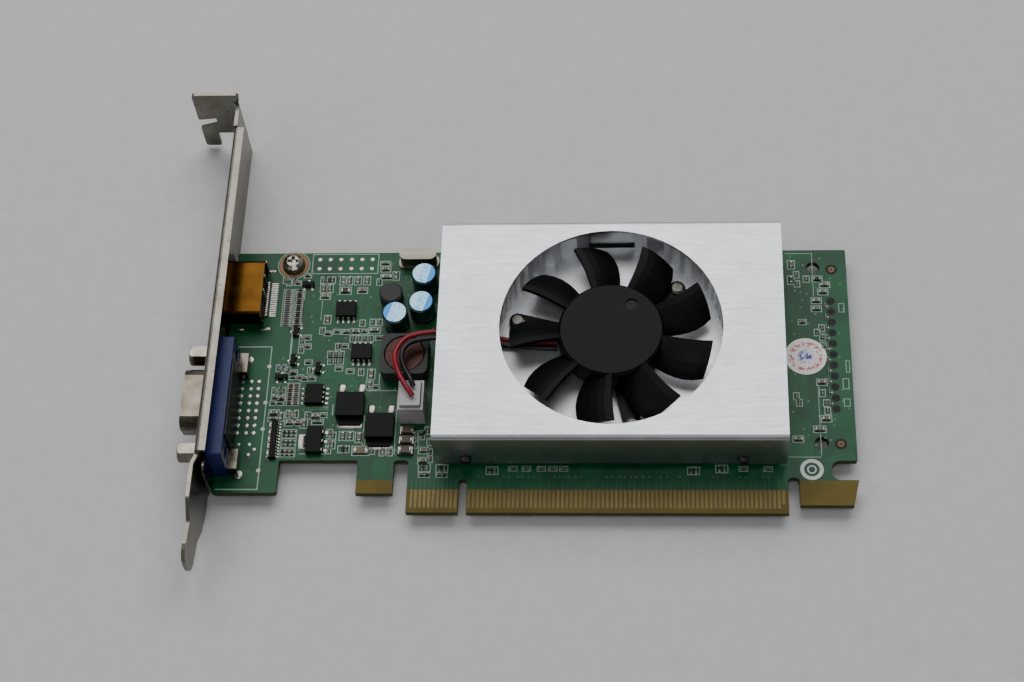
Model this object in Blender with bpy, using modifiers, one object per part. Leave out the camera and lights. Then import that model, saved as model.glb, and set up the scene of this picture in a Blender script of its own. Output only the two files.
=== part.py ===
"""Low-profile graphics card with a fan-cooled heatsink and a full-height rear bracket.

The card lies with its component side up. Sizes are in millimetres and MM turns them into
metres. Every piece is placed from the card datum: X along the card from the centre of the
key notch, Y across it from the lower end of the edge contacts, Z up from the component face.
"""

import math

import bmesh
import bpy
from mathutils import Matrix, Vector

MM = 0.001

# Card datum in the world: it puts the middle of the card's footprint, at its lowest level,
# at the world's origin.
DATUM = (-9.52, -44.25, 3.9)

# Clearances
SEAT_GAP = 0.1
FIT_GAP = 0.3

# Circuit board
BOARD_THICKNESS = 1.57
BOARD_LEFT = -57.2
BOARD_RIGHT = 88.24
BOARD_BACK = 68.9
BOARD_FRONT = 13.0
LOBE_RIGHT = -42.3
LOBE_FRONT = 4.8
KEY_TAB_LEFT = -24.2
KEY_TAB_RIGHT = -15.9
KEY_TAB_FRONT = 4.7
CONTACTS_LEFT = -12.6
CONTACTS_RIGHT = 72.6
KEY_NOTCH_HALF = 0.95
KEY_NOTCH_DEPTH = 8.3
HOOK_LEFT = 75.2
HOOK_FRONT = 2.0
HOOK_BACK = 8.2
HOOK_SLOT_LEFT = 82.4
HOOK_GAP_BACK = 8.8
TOOLING_HOLES = ((80.4, 63.9), (80.5, 17.4))
TOOLING_HOLE_RADIUS = 1.6

# Rear bracket
SHEET = 0.86
BRACKET_OUTER = -58.6
BRACKET_INNER = BRACKET_OUTER + SHEET
BRACKET_LOW = -3.9
BRACKET_HIGH = 14.5
BEND_RADIUS = 1.1
TAB_FACE = 103.4
TAB_BACK = TAB_FACE + SHEET
TAB_TIP = -69.3
TAB_LOW = -2.9
TAB_HIGH = 17.5
FOOT_TIP = TAB_BACK - 120.02
FOOT_OFFSET = 0.85
FOOT_LEAN = 0.5
FOOT_LEAN_START = -7.0
JOGGLE_START = 5.6
JOGGLE_END = 7.9
LIP_WIDTH = 2.6
LIP_START = 8.2
LIP_END = 96.0
BRACKET_SCREW = (-43.3, 65.5)
BRACKET_SCREW_SHANK = 1.3
TONGUE_WIDTH = 6.4

# Analogue video connector
VGA_CENTRE = (24.2, 6.4)
VGA_BODY_WIDTH = 30.8
VGA_BODY_TOP = 10.9
VGA_FLANGE_WIDTH = 39.2
VGA_SHELL_WIDTH = 16.1
VGA_SHELL_HEIGHT = 7.9
VGA_SHELL_WALL = 0.45
VGA_SHELL_TIP = -63.8
VGA_SCREW_SPACING = 24.99
JACK_SCREW_ACROSS_FLATS = 4.5
JACK_SCREW_LENGTH = 5.2
JACK_SCREW_THREAD = 1.3

# Digital video port
PORT_CENTRE = 55.7
PORT_WIDTH = 15.0
PORT_BOTTOM = 0.2
PORT_TOP = 6.1
PORT_WALL = 0.4
PORT_MOUTH = -60.0
PORT_REAR = -49.1

# Fan cover, an aluminium channel open at both ends
COVER_LEFT = -6.2
COVER_RIGHT = 72.35
COVER_FRONT = 11.5
COVER_BACK = 68.4
COVER_TOP = 13.8
COVER_SHEET = 0.8
COVER_SKIRT = 1.5
COVER_BEND = 0.95
COVER_SCREW_X = (0.8, 62.65)
COVER_SCREW_Z = 3.9
COVER_SCREW_SHANK = 0.8

# Fan and the round openings made for it
FAN_CENTRE = (33.27, 40.35)
INLET_RADIUS = 25.35
WELL_RADIUS = 25.6
HUB_RADIUS = 12.1
HUB_TOP = 12.1
HUB_BOTTOM = 6.6
HUB_WALL = 1.1
BLADES = 9
BLADE_TIP_RADIUS = 23.2
BLADE_TOP = 11.8
BLADE_BOTTOM = 7.0
BLADE_THICKNESS = 0.8
FAN_BASE_BOTTOM = 4.95
FAN_BASE_TOP = 5.95
FAN_ARMS = ((165.0, 22.5), (43.5, 20.9), (283.0, 22.0))
SHAFT_RADIUS = 0.75

# Heatsink
SINK_LEFT = -5.4
SINK_RIGHT = 71.55
SINK_FRONT = 13.1
SINK_BACK = 66.85
SINK_BOTTOM = 2.3
SINK_FLOOR = 4.7
SINK_TOP = 12.7
FINS = 21
FIN_PITCH = 2.5
FIN_THICKNESS = 0.8
LEAD_CHANNEL = (36.0, 47.5)
LEAD_CHANNEL_END = 12.0
SINK_SCREWS = ((6.8, 20.0), (59.8, 20.0), (6.8, 60.7), (59.8, 60.7))
SINK_SCREW_HEAD = 2.8
SINK_SCREW_SHANK = 1.2

# Fan connector: header on the board and plug in it
HEADER_LOW = (-15.0, 22.3)
HEADER_HIGH = (-9.2, 29.8)
HEADER_TOP = 7.0
PLUG_TOP = 8.0
LEAD_RADIUS = 0.6

# Routes of the two fan leads, from the plug to the fan's base
RED_ROUTE = (
    (-11.4, 24.9, 8.65), (-12.75, 26.6, 9.5), (-14.75, 30.2, 9.3), (-16.1, 34.5, 8.3),
    (-16.1, 37.2, 7.8), (-14.4, 40.5, 7.3), (-11.6, 42.0, 7.1), (-7.2, 42.75, 6.9),
    (-2.0, 42.6, 6.4), (4.0, 41.9, 6.0), (10.0, 41.1, 5.7), (16.0, 40.6, 5.6),
    (20.9, 40.4, 5.6),
)
BLACK_ROUTE = (
    (-11.4, 27.4, 8.65), (-12.2, 29.2, 9.3), (-13.8, 32.4, 8.6), (-14.7, 35.7, 7.8),
    (-14.2, 38.4, 7.3), (-12.0, 40.2, 7.1), (-7.2, 41.1, 6.9), (-2.0, 41.0, 6.4),
    (4.0, 40.3, 6.0), (10.0, 39.6, 5.7), (16.0, 39.1, 5.6), (20.9, 38.9, 5.6),
)
LEAD_STEP = 2.2

# Small parts on the board: centre in X and Y, size in X, Y and Z
DRIVER_CHIPS = (
    ("fan_driver_chip", (-29.6, 52.4), (4.7, 3.9, 1.5)),
    ("power_driver_chip", (-25.15, 40.85), (4.7, 3.9, 1.5)),
    ("port_driver_chip", (-35.3, 29.6), (3.9, 4.9, 1.5)),
)
TRANSISTORS = (("power_transistor_1", (-26.75, 26.5)), ("power_transistor_2", (-19.55, 21.0)))
TRANSISTOR_SIZE = (6.4, 6.1, 2.2)
TRANSISTOR_TAB = (5.2, 1.5, 0.5)
REGULATOR_CENTRE = (-34.45, 17.7)
REGULATOR_SIZE = (3.5, 6.5, 1.6)
CERAMIC_CAPACITORS = ((-13.2, 20.3), (-13.3, 17.8), (-13.4, 15.2))
CERAMIC_SIZE = (2.7, 1.7, 1.3)
POLYMER_CAPACITORS = ((-11.0, 59.4), (-11.28, 51.7), (-17.3, 48.75))
POLYMER_RADIUS = 3.0
POLYMER_HEIGHT = 5.9
ROUND_INDUCTOR = (-18.9, 55.7)
ROUND_INDUCTOR_RADIUS = 2.8
ROUND_INDUCTOR_HEIGHT = 3.6
SHIELDED_INDUCTOR = (-14.6, 38.6)
SHIELDED_INDUCTOR_SIZE = (11.0, 10.7, 4.2)
SHIELDED_CORE_RADIUS = 4.5
CRYSTAL_CENTRE = (-13.0, 66.0)
CRYSTAL_SIZE = (8.8, 3.1, 4.1)
GRAPHICS_PACKAGE = (29.0, 29.0)
GRAPHICS_DIE = (12.5, 12.5)
MEMORY_CENTRES = ((7.0, 30.2), (7.0, 50.5), (59.6, 30.2), (59.6, 50.5))
MEMORY_SIZE = (11.0, 13.0, 1.1)

# Facets on round pieces
FINE = 64
MEDIUM = 24
COARSE = 12

for leftover in list(bpy.data.objects):
    bpy.data.objects.remove(leftover)

parts = bpy.data.collections.new("graphics_card")
cutters = bpy.data.collections.new("cutters")
cutters.hide_render = True
bpy.context.scene.collection.children.link(parts)
bpy.context.scene.collection.children.link(cutters)


def add_empty(name, location, parent=None):
    """An empty to place pieces from, with its location in millimetres."""
    empty = bpy.data.objects.new(name, None)
    empty.location = Vector(location) * MM
    empty.parent = parent
    parts.objects.link(empty)
    return empty


card_datum = add_empty("card_datum", DATUM)
fan_axis = add_empty("fan_axis", (*FAN_CENTRE, 0.0), card_datum)


# Building blocks


def add_object(name, mesh, centre, parent=None, rotation=None, is_cutter=False):
    """An object for this mesh, placed in millimetres from its parent."""
    obj = bpy.data.objects.new(name, mesh)
    obj.parent = parent or card_datum
    place = Matrix.Translation(Vector(centre) * MM)
    obj.matrix_local = place @ (rotation or Matrix.Identity(4))
    (cutters if is_cutter else parts).objects.link(obj)
    if is_cutter:
        obj.hide_render = True
        obj.display_type = "WIRE"
    return obj


def mesh_from(name, bm, smooth=False):
    """A mesh datablock from this bmesh, with its faces pointing out."""
    bmesh.ops.recalc_face_normals(bm, faces=bm.faces)
    mesh = bpy.data.meshes.new(name)
    bm.to_mesh(mesh)
    bm.free()
    if smooth:
        mesh.shade_smooth()
        mesh.set_sharp_from_angle(angle=math.radians(35))
    return mesh


def box(name, low, high, **options):
    """A box between two corners in millimetres."""
    low, high = Vector(low), Vector(high)
    bm = bmesh.new()
    bmesh.ops.create_cube(bm, size=1.0, matrix=Matrix.Diagonal((*((high - low) * MM), 1.0)))
    return add_object(name, mesh_from(name, bm), (low + high) / 2, **options)


def block(name, centre, size, bottom=SEAT_GAP, **options):
    """A box of this size standing on the board around a centre in X and Y."""
    half = Vector((size[0] / 2, size[1] / 2))
    low = (centre[0] - half.x, centre[1] - half.y, bottom)
    high = (centre[0] + half.x, centre[1] + half.y, bottom + size[2])
    return box(name, low, high, **options)


AXIS_TURN = {
    "z": Matrix.Identity(4),
    "x": Matrix.Rotation(math.pi / 2, 4, "Y"),
    "y": Matrix.Rotation(-math.pi / 2, 4, "X"),
}


def rod(name, start, length, radius, axis="z", facets=MEDIUM, **options):
    """A cylinder from a start point along an axis."""
    bm = bmesh.new()
    bmesh.ops.create_cone(
        bm,
        cap_ends=True,
        segments=facets,
        radius1=radius * MM,
        radius2=radius * MM,
        depth=length * MM,
    )
    turn = AXIS_TURN[axis]
    centre = Vector(start) + turn.to_3x3() @ Vector((0, 0, length / 2))
    return add_object(name, mesh_from(name, bm, smooth=True), centre, rotation=turn, **options)


def turned(name, profile, centre, facets=MEDIUM, axis="z", **options):
    """A turned shape from (radius, height) points, listed from the top down."""
    bm = bmesh.new()
    ring = [bm.verts.new((radius * MM, 0, height * MM)) for radius, height in profile]
    for above, below in zip(ring, ring[1:]):
        bm.edges.new((above, below))
    mesh = bpy.data.meshes.new(name)
    bm.to_mesh(mesh)
    bm.free()
    obj = add_object(name, mesh, centre, rotation=AXIS_TURN[axis], **options)
    screw = obj.modifiers.new("Turn", "SCREW")
    screw.steps = facets
    screw.render_steps = facets
    screw.use_merge_vertices = True
    screw.merge_threshold = 1e-6
    screw.use_smooth_shade = True
    return obj


def rounded(corners, arc_points=4):
    """Corners (x, y) or (x, y, radius) as an outline, with an arc at each that has a radius."""
    outline = []
    for index, corner in enumerate(corners):
        point = Vector(corner[:2])
        if len(corner) == 2:
            outline.append(point)
            continue
        to_last = (Vector(corners[index - 1][:2]) - point).normalized()
        to_next = (Vector(corners[(index + 1) % len(corners)][:2]) - point).normalized()
        half_angle = to_last.angle(to_next) / 2
        reach = corner[2] / math.tan(half_angle)
        middle = point + (to_last + to_next).normalized() * corner[2] / math.sin(half_angle)
        start = point + to_last * reach - middle
        sweep = start.angle_signed(point + to_next * reach - middle)
        for step in range(arc_points + 1):
            turn = Matrix.Rotation(-sweep * step / arc_points, 2)
            outline.append(middle + turn @ start)
    return outline


def circle(centre, radius, points=MEDIUM):
    """A round outline."""
    angles = [2 * math.pi * index / points for index in range(points)]
    return [Vector(centre) + radius * Vector((math.cos(a), math.sin(a))) for a in angles]


PLANE_TURN = {
    "xy": Matrix.Identity(4),
    "yz": Matrix(((0, 0, 1, 0), (1, 0, 0, 0), (0, 1, 0, 0), (0, 0, 0, 1))),
    "zx": Matrix(((0, 1, 0, 0), (0, 0, 1, 0), (1, 0, 0, 0), (0, 0, 0, 1))),
}


def plate(name, outlines, low, high, plane="xy", **options):
    """A flat plate: the first outline, less any others, between two levels across its plane."""
    curve = bpy.data.curves.new(name, "CURVE")
    curve.dimensions = "2D"
    curve.fill_mode = "BOTH"
    curve.extrude = (high - low) / 2 * MM
    for outline in outlines:
        spline = curve.splines.new("POLY")
        spline.use_cyclic_u = True
        spline.points.add(len(outline) - 1)
        for point, place in zip(spline.points, outline):
            point.co = (place[0] * MM, place[1] * MM, 0, 1)
    middle = PLANE_TURN[plane].to_3x3() @ Vector((0, 0, (low + high) / 2))
    drawn = add_object(name, curve, middle, rotation=PLANE_TURN[plane])
    bpy.context.view_layer.update()
    mesh = bpy.data.meshes.new_from_object(
        drawn.evaluated_get(bpy.context.evaluated_depsgraph_get())
    )
    bpy.data.objects.remove(drawn)
    bm = bmesh.new()
    bm.from_mesh(mesh)
    bmesh.ops.remove_doubles(bm, verts=bm.verts, dist=1e-7)
    bpy.data.meshes.remove(mesh)
    return add_object(
        name, mesh_from(name, bm), middle, rotation=PLANE_TURN[plane], **options
    )


def smooth_route(route, step):
    """Points about a step apart on a smooth curve through the route's own points."""
    ends = [Vector(place) for place in route]
    ends = [2 * ends[0] - ends[1], *ends, 2 * ends[-1] - ends[-2]]
    points = []
    for before, start, end, after in zip(ends, ends[1:], ends[2:], ends[3:]):
        pieces = max(1, round((end - start).length / step))
        for index in range(pieces):
            t = index / pieces
            points.append(
                0.5
                * (
                    2 * start
                    + (end - before) * t
                    + (2 * before - 5 * start + 4 * end - after) * t**2
                    + (3 * start - before - 3 * end + after) * t**3
                )
            )
    points.append(ends[-2])
    return points


def lead(name, route):
    """A wire along a smooth route."""
    curve = bpy.data.curves.new(name, "CURVE")
    curve.dimensions = "3D"
    curve.bevel_depth = LEAD_RADIUS * MM
    curve.bevel_resolution = 2
    curve.use_fill_caps = True
    points = smooth_route(route, LEAD_STEP)
    spline = curve.splines.new("POLY")
    spline.points.add(len(points) - 1)
    for point, place in zip(spline.points, points):
        point.co = (*(place * MM), 1)
    return add_object(name, curve, (0, 0, 0))


def combine(obj, other, operation):
    """Joins the other object to this one, or takes it away, or keeps what they share."""
    modifier = obj.modifiers.new(operation.title(), "BOOLEAN")
    modifier.operation = operation
    modifier.object = other
    modifier.solver = "EXACT"
    return obj


def cut(obj, *others):
    for other in others:
        combine(obj, other, "DIFFERENCE")
    return obj


def join(obj, *others):
    for other in others:
        combine(obj, other, "UNION")
    return obj


def paint(obj, colour, roughness, metallic=0.0):
    """Gives the object a material of its own."""
    material = bpy.data.materials.new(obj.name)
    material.use_nodes = True
    shader = material.node_tree.nodes["Principled BSDF"]
    shader.inputs["Base Color"].default_value = (*colour, 1.0)
    shader.inputs["Roughness"].default_value = roughness
    shader.inputs["Metallic"].default_value = metallic
    obj.data.materials.clear()
    obj.data.materials.append(material)
    return obj


GREEN = (0.03, 0.17, 0.08)
BLACK = (0.02, 0.02, 0.022)
STEEL = (0.42, 0.41, 0.38)
SILVER = (0.75, 0.75, 0.74)
GOLD = (0.55, 0.34, 0.10)
BLUE = (0.03, 0.06, 0.25)
WHITE = (0.80, 0.78, 0.72)
GREY = (0.18, 0.17, 0.18)
BROWN = (0.24, 0.17, 0.13)


# Circuit board


def make_board():
    front = BOARD_FRONT
    corners = [
        (CONTACTS_LEFT, 0.0),
        (-KEY_NOTCH_HALF, 0.0),
        (-KEY_NOTCH_HALF, KEY_NOTCH_DEPTH, 0.9),
        (KEY_NOTCH_HALF, KEY_NOTCH_DEPTH, 0.9),
        (KEY_NOTCH_HALF, 0.0),
        (CONTACTS_RIGHT, 0.0),
        (CONTACTS_RIGHT, HOOK_GAP_BACK, 1.0),
        (HOOK_LEFT, HOOK_GAP_BACK, 1.0),
        (HOOK_LEFT, HOOK_FRONT),
        (BOARD_RIGHT - 1.3, HOOK_FRONT),
        (BOARD_RIGHT + 0.1, HOOK_BACK),
        (HOOK_SLOT_LEFT, HOOK_BACK, 1.9),
        (HOOK_SLOT_LEFT, front, 1.9),
        (BOARD_RIGHT, front, 0.5),
        (BOARD_RIGHT, BOARD_BACK, 0.5),
        (BOARD_LEFT, BOARD_BACK, 0.5),
        (BOARD_LEFT, LOBE_FRONT, 0.8),
        (LOBE_RIGHT, LOBE_FRONT, 0.5),
        (LOBE_RIGHT, front, 0.5),
        (KEY_TAB_LEFT, front, 0.5),
        (KEY_TAB_LEFT, KEY_TAB_FRONT),
        (KEY_TAB_RIGHT, KEY_TAB_FRONT),
        (KEY_TAB_RIGHT, front, 0.8),
        (CONTACTS_LEFT, front, 0.8),
    ]
    holes = [circle(hole, TOOLING_HOLE_RADIUS, MEDIUM) for hole in TOOLING_HOLES]
    holes.append(circle(BRACKET_SCREW, BRACKET_SCREW_SHANK + FIT_GAP, COARSE))
    holes += [circle(hole, SINK_SCREW_SHANK + FIT_GAP, COARSE) for hole in SINK_SCREWS]
    board = plate("circuit_board", [rounded(corners), *holes], -BOARD_THICKNESS, 0.0)
    return paint(board, GREEN, 0.45)


# Rear bracket


def bracket_strip():
    """The bracket's long strip, seen along Z: foot, joggle, plate and the turn into the tab."""
    outer_foot = BRACKET_OUTER - FOOT_OFFSET
    corners = [
        (outer_foot - FOOT_LEAN, FOOT_TIP),
        (outer_foot - FOOT_LEAN + SHEET, FOOT_TIP),
        (outer_foot + SHEET, FOOT_LEAN_START, 9.0),
        (outer_foot + SHEET, JOGGLE_START, 0.8),
        (BRACKET_INNER, JOGGLE_END, 0.8),
        (BRACKET_INNER, TAB_BACK, BEND_RADIUS + SHEET),
        (TAB_TIP + 3.0, TAB_BACK),
        (TAB_TIP + 3.0, TAB_FACE),
        (BRACKET_OUTER, TAB_FACE, BEND_RADIUS),
        (BRACKET_OUTER, JOGGLE_END, 0.8),
        (outer_foot, JOGGLE_START, 0.8),
        (outer_foot, FOOT_LEAN_START, 9.0),
    ]
    return plate("bracket", [rounded(corners)], BRACKET_LOW, BRACKET_HIGH)


def bracket_side():
    """The strip's outline seen along X, with the openings for the two video ports."""
    past = 2.0
    corners = [
        (FOOT_TIP, 0.6, 3.0),
        (-7.6, 0.6, 1.0),
        (-4.4, -1.9, 1.5),
        (1.0, BRACKET_LOW, 2.0),
        (TAB_BACK + past, BRACKET_LOW),
        (TAB_BACK + past, BRACKET_HIGH + past),
        (LIP_END + 0.6, BRACKET_HIGH + past),
        (LIP_END + 0.6, BRACKET_HIGH - 1.4),
        (-2.6, BRACKET_HIGH - 1.4, 0.8),
        (-6.9, 9.7, 1.0),
        (FOOT_TIP, 9.7, 3.6),
    ]
    shell_hole = d_outline(VGA_SHELL_WIDTH + 0.8, VGA_SHELL_HEIGHT + 0.8, 2.6)
    half_port = PORT_WIDTH / 2 + 0.4
    port_hole = rounded(
        [
            (PORT_CENTRE - half_port, PORT_BOTTOM - 0.5, 1.0),
            (PORT_CENTRE + half_port, PORT_BOTTOM - 0.5, 1.0),
            (PORT_CENTRE + half_port, PORT_TOP + 0.4, 1.0),
            (PORT_CENTRE - half_port, PORT_TOP + 0.4, 1.0),
        ]
    )
    screw_holes = [circle(spot, JACK_SCREW_THREAD + 0.3, COARSE) for spot in jack_spots()]
    outlines = [rounded(corners), shell_hole, port_hole, *screw_holes]
    return plate(
        "bracket_side", outlines, TAB_TIP - past, BRACKET_INNER + past, "yz", is_cutter=True
    )


def jack_spots():
    """Where the two jack screws stand, in Y and Z."""
    half = VGA_SCREW_SPACING / 2
    return [(VGA_CENTRE[0] + side * half, VGA_CENTRE[1]) for side in (1, -1)]


def d_outline(width, height, radius):
    """The connector's D shape around its centre, wider at the top, in Y and Z."""
    y, z = VGA_CENTRE
    slope = math.tan(math.radians(10)) * height / 2
    half = width / 2
    return rounded(
        [
            (y - half + 2 * slope, z - height / 2, radius),
            (y + half - 2 * slope, z - height / 2, radius),
            (y + half, z + height / 2, radius),
            (y - half, z + height / 2, radius),
        ],
        3,
    )


def make_bracket():
    past = 2.0
    bracket = combine(bracket_strip(), bracket_side(), "INTERSECT")
    lip_corners = [
        (BRACKET_HIGH - 2.2, BRACKET_OUTER),
        (BRACKET_HIGH, BRACKET_OUTER, BEND_RADIUS),
        (BRACKET_HIGH, BRACKET_OUTER + LIP_WIDTH),
        (BRACKET_HIGH - SHEET, BRACKET_OUTER + LIP_WIDTH),
        (BRACKET_HIGH - SHEET, BRACKET_INNER, 0.3),
        (BRACKET_HIGH - 2.2, BRACKET_INNER),
    ]
    lip = plate("bracket_lip", [rounded(lip_corners)], LIP_START, LIP_END, "zx", is_cutter=True)
    tab_corners = [
        (TAB_LOW, TAB_TIP, 0.8),
        (4.4, TAB_TIP, 0.4),
        (6.0, TAB_TIP + 4.6, 0.8),
        (8.2, TAB_TIP + 4.4, 1.2),
        (7.7, TAB_TIP, 0.4),
        (TAB_HIGH, TAB_TIP, 0.8),
        (TAB_HIGH, BRACKET_INNER + 0.2, 1.0),
        (BRACKET_HIGH - 0.2, BRACKET_INNER - 0.4),
        (BRACKET_HIGH - 0.2, BRACKET_OUTER - BEND_RADIUS - 0.3),
        (2.3, BRACKET_OUTER - BEND_RADIUS - 0.3),
        (2.3, TAB_TIP + 3.9, 0.6),
        (TAB_LOW, TAB_TIP + 3.9, 0.5),
    ]
    tab = plate("bracket_tab", [rounded(tab_corners)], TAB_FACE, TAB_BACK, "zx", is_cutter=True)
    notch_corners = [
        (4.4, TAB_TIP - past),
        (4.4, TAB_TIP, 0.4),
        (6.0, TAB_TIP + 4.6, 0.8),
        (8.2, TAB_TIP + 4.4, 1.2),
        (7.7, TAB_TIP, 0.4),
        (7.7, TAB_TIP - past),
    ]
    notch = plate(
        "bracket_tab_notch", [notch_corners], TAB_FACE - past, TAB_BACK + past, "zx",
        is_cutter=True,
    )
    relief = box(
        "bracket_relief",
        (TAB_TIP - past, TAB_FACE - BEND_RADIUS, BRACKET_LOW - past),
        (BRACKET_INNER + past, TAB_BACK + past, 2.3),
        is_cutter=True,
    )
    tongue_top = -BOARD_THICKNESS - SEAT_GAP
    tongue = plate(
        "bracket_tongue",
        [
            rounded(
                [
                    (BRACKET_INNER - 0.3, BRACKET_SCREW[1] - TONGUE_WIDTH / 2),
                    (BRACKET_SCREW[0] + 3.4, BRACKET_SCREW[1] - TONGUE_WIDTH / 2, 1.5),
                    (BRACKET_SCREW[0] + 3.4, BRACKET_SCREW[1] + TONGUE_WIDTH / 2, 1.5),
                    (BRACKET_INNER - 0.3, BRACKET_SCREW[1] + TONGUE_WIDTH / 2),
                ]
            ),
            circle(BRACKET_SCREW, BRACKET_SCREW_SHANK + 0.15, COARSE),
        ],
        tongue_top - SHEET,
        tongue_top,
        is_cutter=True,
    )
    cut(bracket, relief)
    join(bracket, tab, lip, tongue)
    cut(bracket, notch)
    return paint(bracket, STEEL, 0.38, 1.0)


def pan_screw(name, seat, head_radius, head_height, shank_radius, shank_length, axis, colour):
    """A pan-head screw: its head stands along the axis from the seat, its shank goes back."""
    crown = head_radius * 0.55
    profile = [
        (0.0, head_height),
        (crown, head_height),
        (head_radius * 0.9, head_height * 0.72),
        (head_radius, head_height * 0.3),
        (head_radius, 0.0),
        (shank_radius, 0.0),
        (shank_radius, -shank_length),
        (0.0, -shank_length),
    ]
    screw = turned(name, profile, seat, COARSE, axis)
    slot = head_radius * 0.16
    across, deep = head_radius * 0.5, head_height * 0.45
    turn = AXIS_TURN[axis]
    sizes = ((across, slot), (slot, across))
    for index, (half_x, half_y) in enumerate(sizes):
        bm = bmesh.new()
        size = Matrix.Diagonal((2 * half_x * MM, 2 * half_y * MM, 2 * deep * MM, 1.0))
        bmesh.ops.create_cube(bm, size=1.0, matrix=size)
        centre = Vector(seat) + turn.to_3x3() @ Vector((0, 0, head_height))
        recess = f"{name}_recess_{index}"
        cutter = add_object(
            recess, mesh_from(recess, bm), centre, rotation=turn, is_cutter=True
        )
        cut(screw, cutter)
    return paint(screw, colour, 0.3, 1.0)


# Analogue video connector


def make_analogue_connector():
    y, z = VGA_CENTRE
    flange_back = BRACKET_INNER + 1.0
    flange_front = flange_back - 0.5
    half_flange = VGA_FLANGE_WIDTH / 2
    flange = rounded(
        [
            (y - half_flange, FIT_GAP, 0.6),
            (y + half_flange, FIT_GAP, 0.6),
            (y + half_flange, VGA_BODY_TOP, 1.6),
            (y - half_flange, VGA_BODY_TOP, 1.6),
        ]
    )
    outer = d_outline(VGA_SHELL_WIDTH, VGA_SHELL_HEIGHT, 2.3)
    wall = 2 * VGA_SHELL_WALL
    inner = d_outline(VGA_SHELL_WIDTH - wall, VGA_SHELL_HEIGHT - wall, 1.9)
    thread_holes = [circle(spot, JACK_SCREW_THREAD + 0.2, COARSE) for spot in jack_spots()]
    shell = plate("vga_shell", [flange, inner, *thread_holes], flange_front, flange_back, "yz")
    sleeve = plate(
        "vga_sleeve", [outer, inner], VGA_SHELL_TIP, flange_front + 0.2, "yz", is_cutter=True
    )
    paint(join(shell, sleeve), STEEL, 0.35, 1.0)

    body_front = flange_back + SEAT_GAP
    body_back = body_front + 3.4
    half_body = VGA_BODY_WIDTH / 2
    body = plate(
        "vga_insulator",
        [
            rounded(
                [
                    (y - half_body, FIT_GAP),
                    (y + half_body, FIT_GAP),
                    (y + half_body, VGA_BODY_TOP - SEAT_GAP, 0.6),
                    (y - half_body, VGA_BODY_TOP - SEAT_GAP, 0.6),
                ]
            ),
            *[circle(spot, JACK_SCREW_THREAD + 0.2, COARSE) for spot in jack_spots()],
        ],
        body_front,
        body_back,
        "yz",
    )
    clear = wall + 2 * SEAT_GAP
    face = VGA_SHELL_TIP + 0.8
    core = plate(
        "vga_core",
        [d_outline(VGA_SHELL_WIDTH - clear, VGA_SHELL_HEIGHT - clear, 1.8)],
        face,
        body_front + 0.2,
        "yz",
        is_cutter=True,
    )
    join(body, core)
    rows = ((1.98, 0.0), (0.0, 1.145), (-1.98, 0.0))
    pitch = 2.29
    for row, (up, shift) in enumerate(rows):
        for column in range(5):
            across = y + (column - 2) * pitch + shift - 0.5
            hole = rod(
                f"vga_socket_{row}_{column}",
                (face - 1.0, across, z + up),
                5.0,
                0.5,
                "x",
                8,
                is_cutter=True,
            )
            cut(body, hole)
    paint(body, BLUE, 0.4)

    half_plate = VGA_SCREW_SPACING / 2 - 2.65
    pins = box(
        "vga_pin_block",
        (body_back + SEAT_GAP, y - half_plate, FIT_GAP),
        (body_back + FIT_GAP + SEAT_GAP, y + half_plate, VGA_BODY_TOP - 2 * FIT_GAP),
    )
    paint(pins, BLACK, 0.5)

    for name, side in (("upper", 1), ("lower", -1)):
        middle = y + side * VGA_SCREW_SPACING / 2
        lock = box(
            f"vga_board_lock_{name}",
            (body_back + SEAT_GAP, middle - 2.55, SEAT_GAP),
            (body_back + 2.1, middle + 2.4, 3.5),
        )
        paint(lock, SILVER, 0.3, 1.0)
        make_jack_screw(name, middle, body_back)


def make_jack_screw(name, middle, thread_end):
    """A hexagonal stand-off with a threaded mouth, and the stud that holds the connector."""
    seat = BRACKET_OUTER - SEAT_GAP
    spot = (seat - JACK_SCREW_LENGTH, middle, VGA_CENTRE[1])
    corner_radius = JACK_SCREW_ACROSS_FLATS / 2 / math.cos(math.pi / 6)
    screw = rod(f"jack_screw_{name}", spot, JACK_SCREW_LENGTH, corner_radius, "x", 6)
    rounding = turned(
        f"jack_screw_rounding_{name}",
        [
            (0.0, JACK_SCREW_LENGTH + 1.0),
            (corner_radius + 0.1, JACK_SCREW_LENGTH + 1.0),
            (corner_radius + 0.1, 0.9),
            (corner_radius * 0.94, 0.3),
            (corner_radius * 0.8, -0.1),
            (0.0, -0.1),
        ],
        spot,
        MEDIUM,
        "x",
        is_cutter=True,
    )
    stud = rod(
        f"jack_screw_stud_{name}",
        (seat - 0.5, middle, VGA_CENTRE[1]),
        thread_end - SEAT_GAP - seat,
        JACK_SCREW_THREAD,
        "x",
        COARSE,
        is_cutter=True,
    )
    mouth = rod(
        f"jack_screw_mouth_{name}",
        (spot[0] - 1.0, middle, VGA_CENTRE[1]),
        4.6,
        1.25,
        "x",
        COARSE,
        is_cutter=True,
    )
    combine(screw, rounding, "INTERSECT")
    join(screw, stud)
    cut(screw, mouth)
    return paint(screw, SILVER, 0.25, 1.0)


# Digital video port


def port_outline(inset):
    """The port's section in Y and Z, with its two lower corners cut off."""
    half = PORT_WIDTH / 2 - inset
    low, high = PORT_BOTTOM + inset, PORT_TOP - inset
    soft = max(0.8 - inset, 0.2)
    return rounded(
        [
            (PORT_CENTRE - half + 1.6, low, 0.4),
            (PORT_CENTRE + half - 1.6, low, 0.4),
            (PORT_CENTRE + half, low + 1.7, 0.4),
            (PORT_CENTRE + half, high, soft),
            (PORT_CENTRE - half, high, soft),
            (PORT_CENTRE - half, low + 1.7, 0.4),
        ],
        2,
    )


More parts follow.
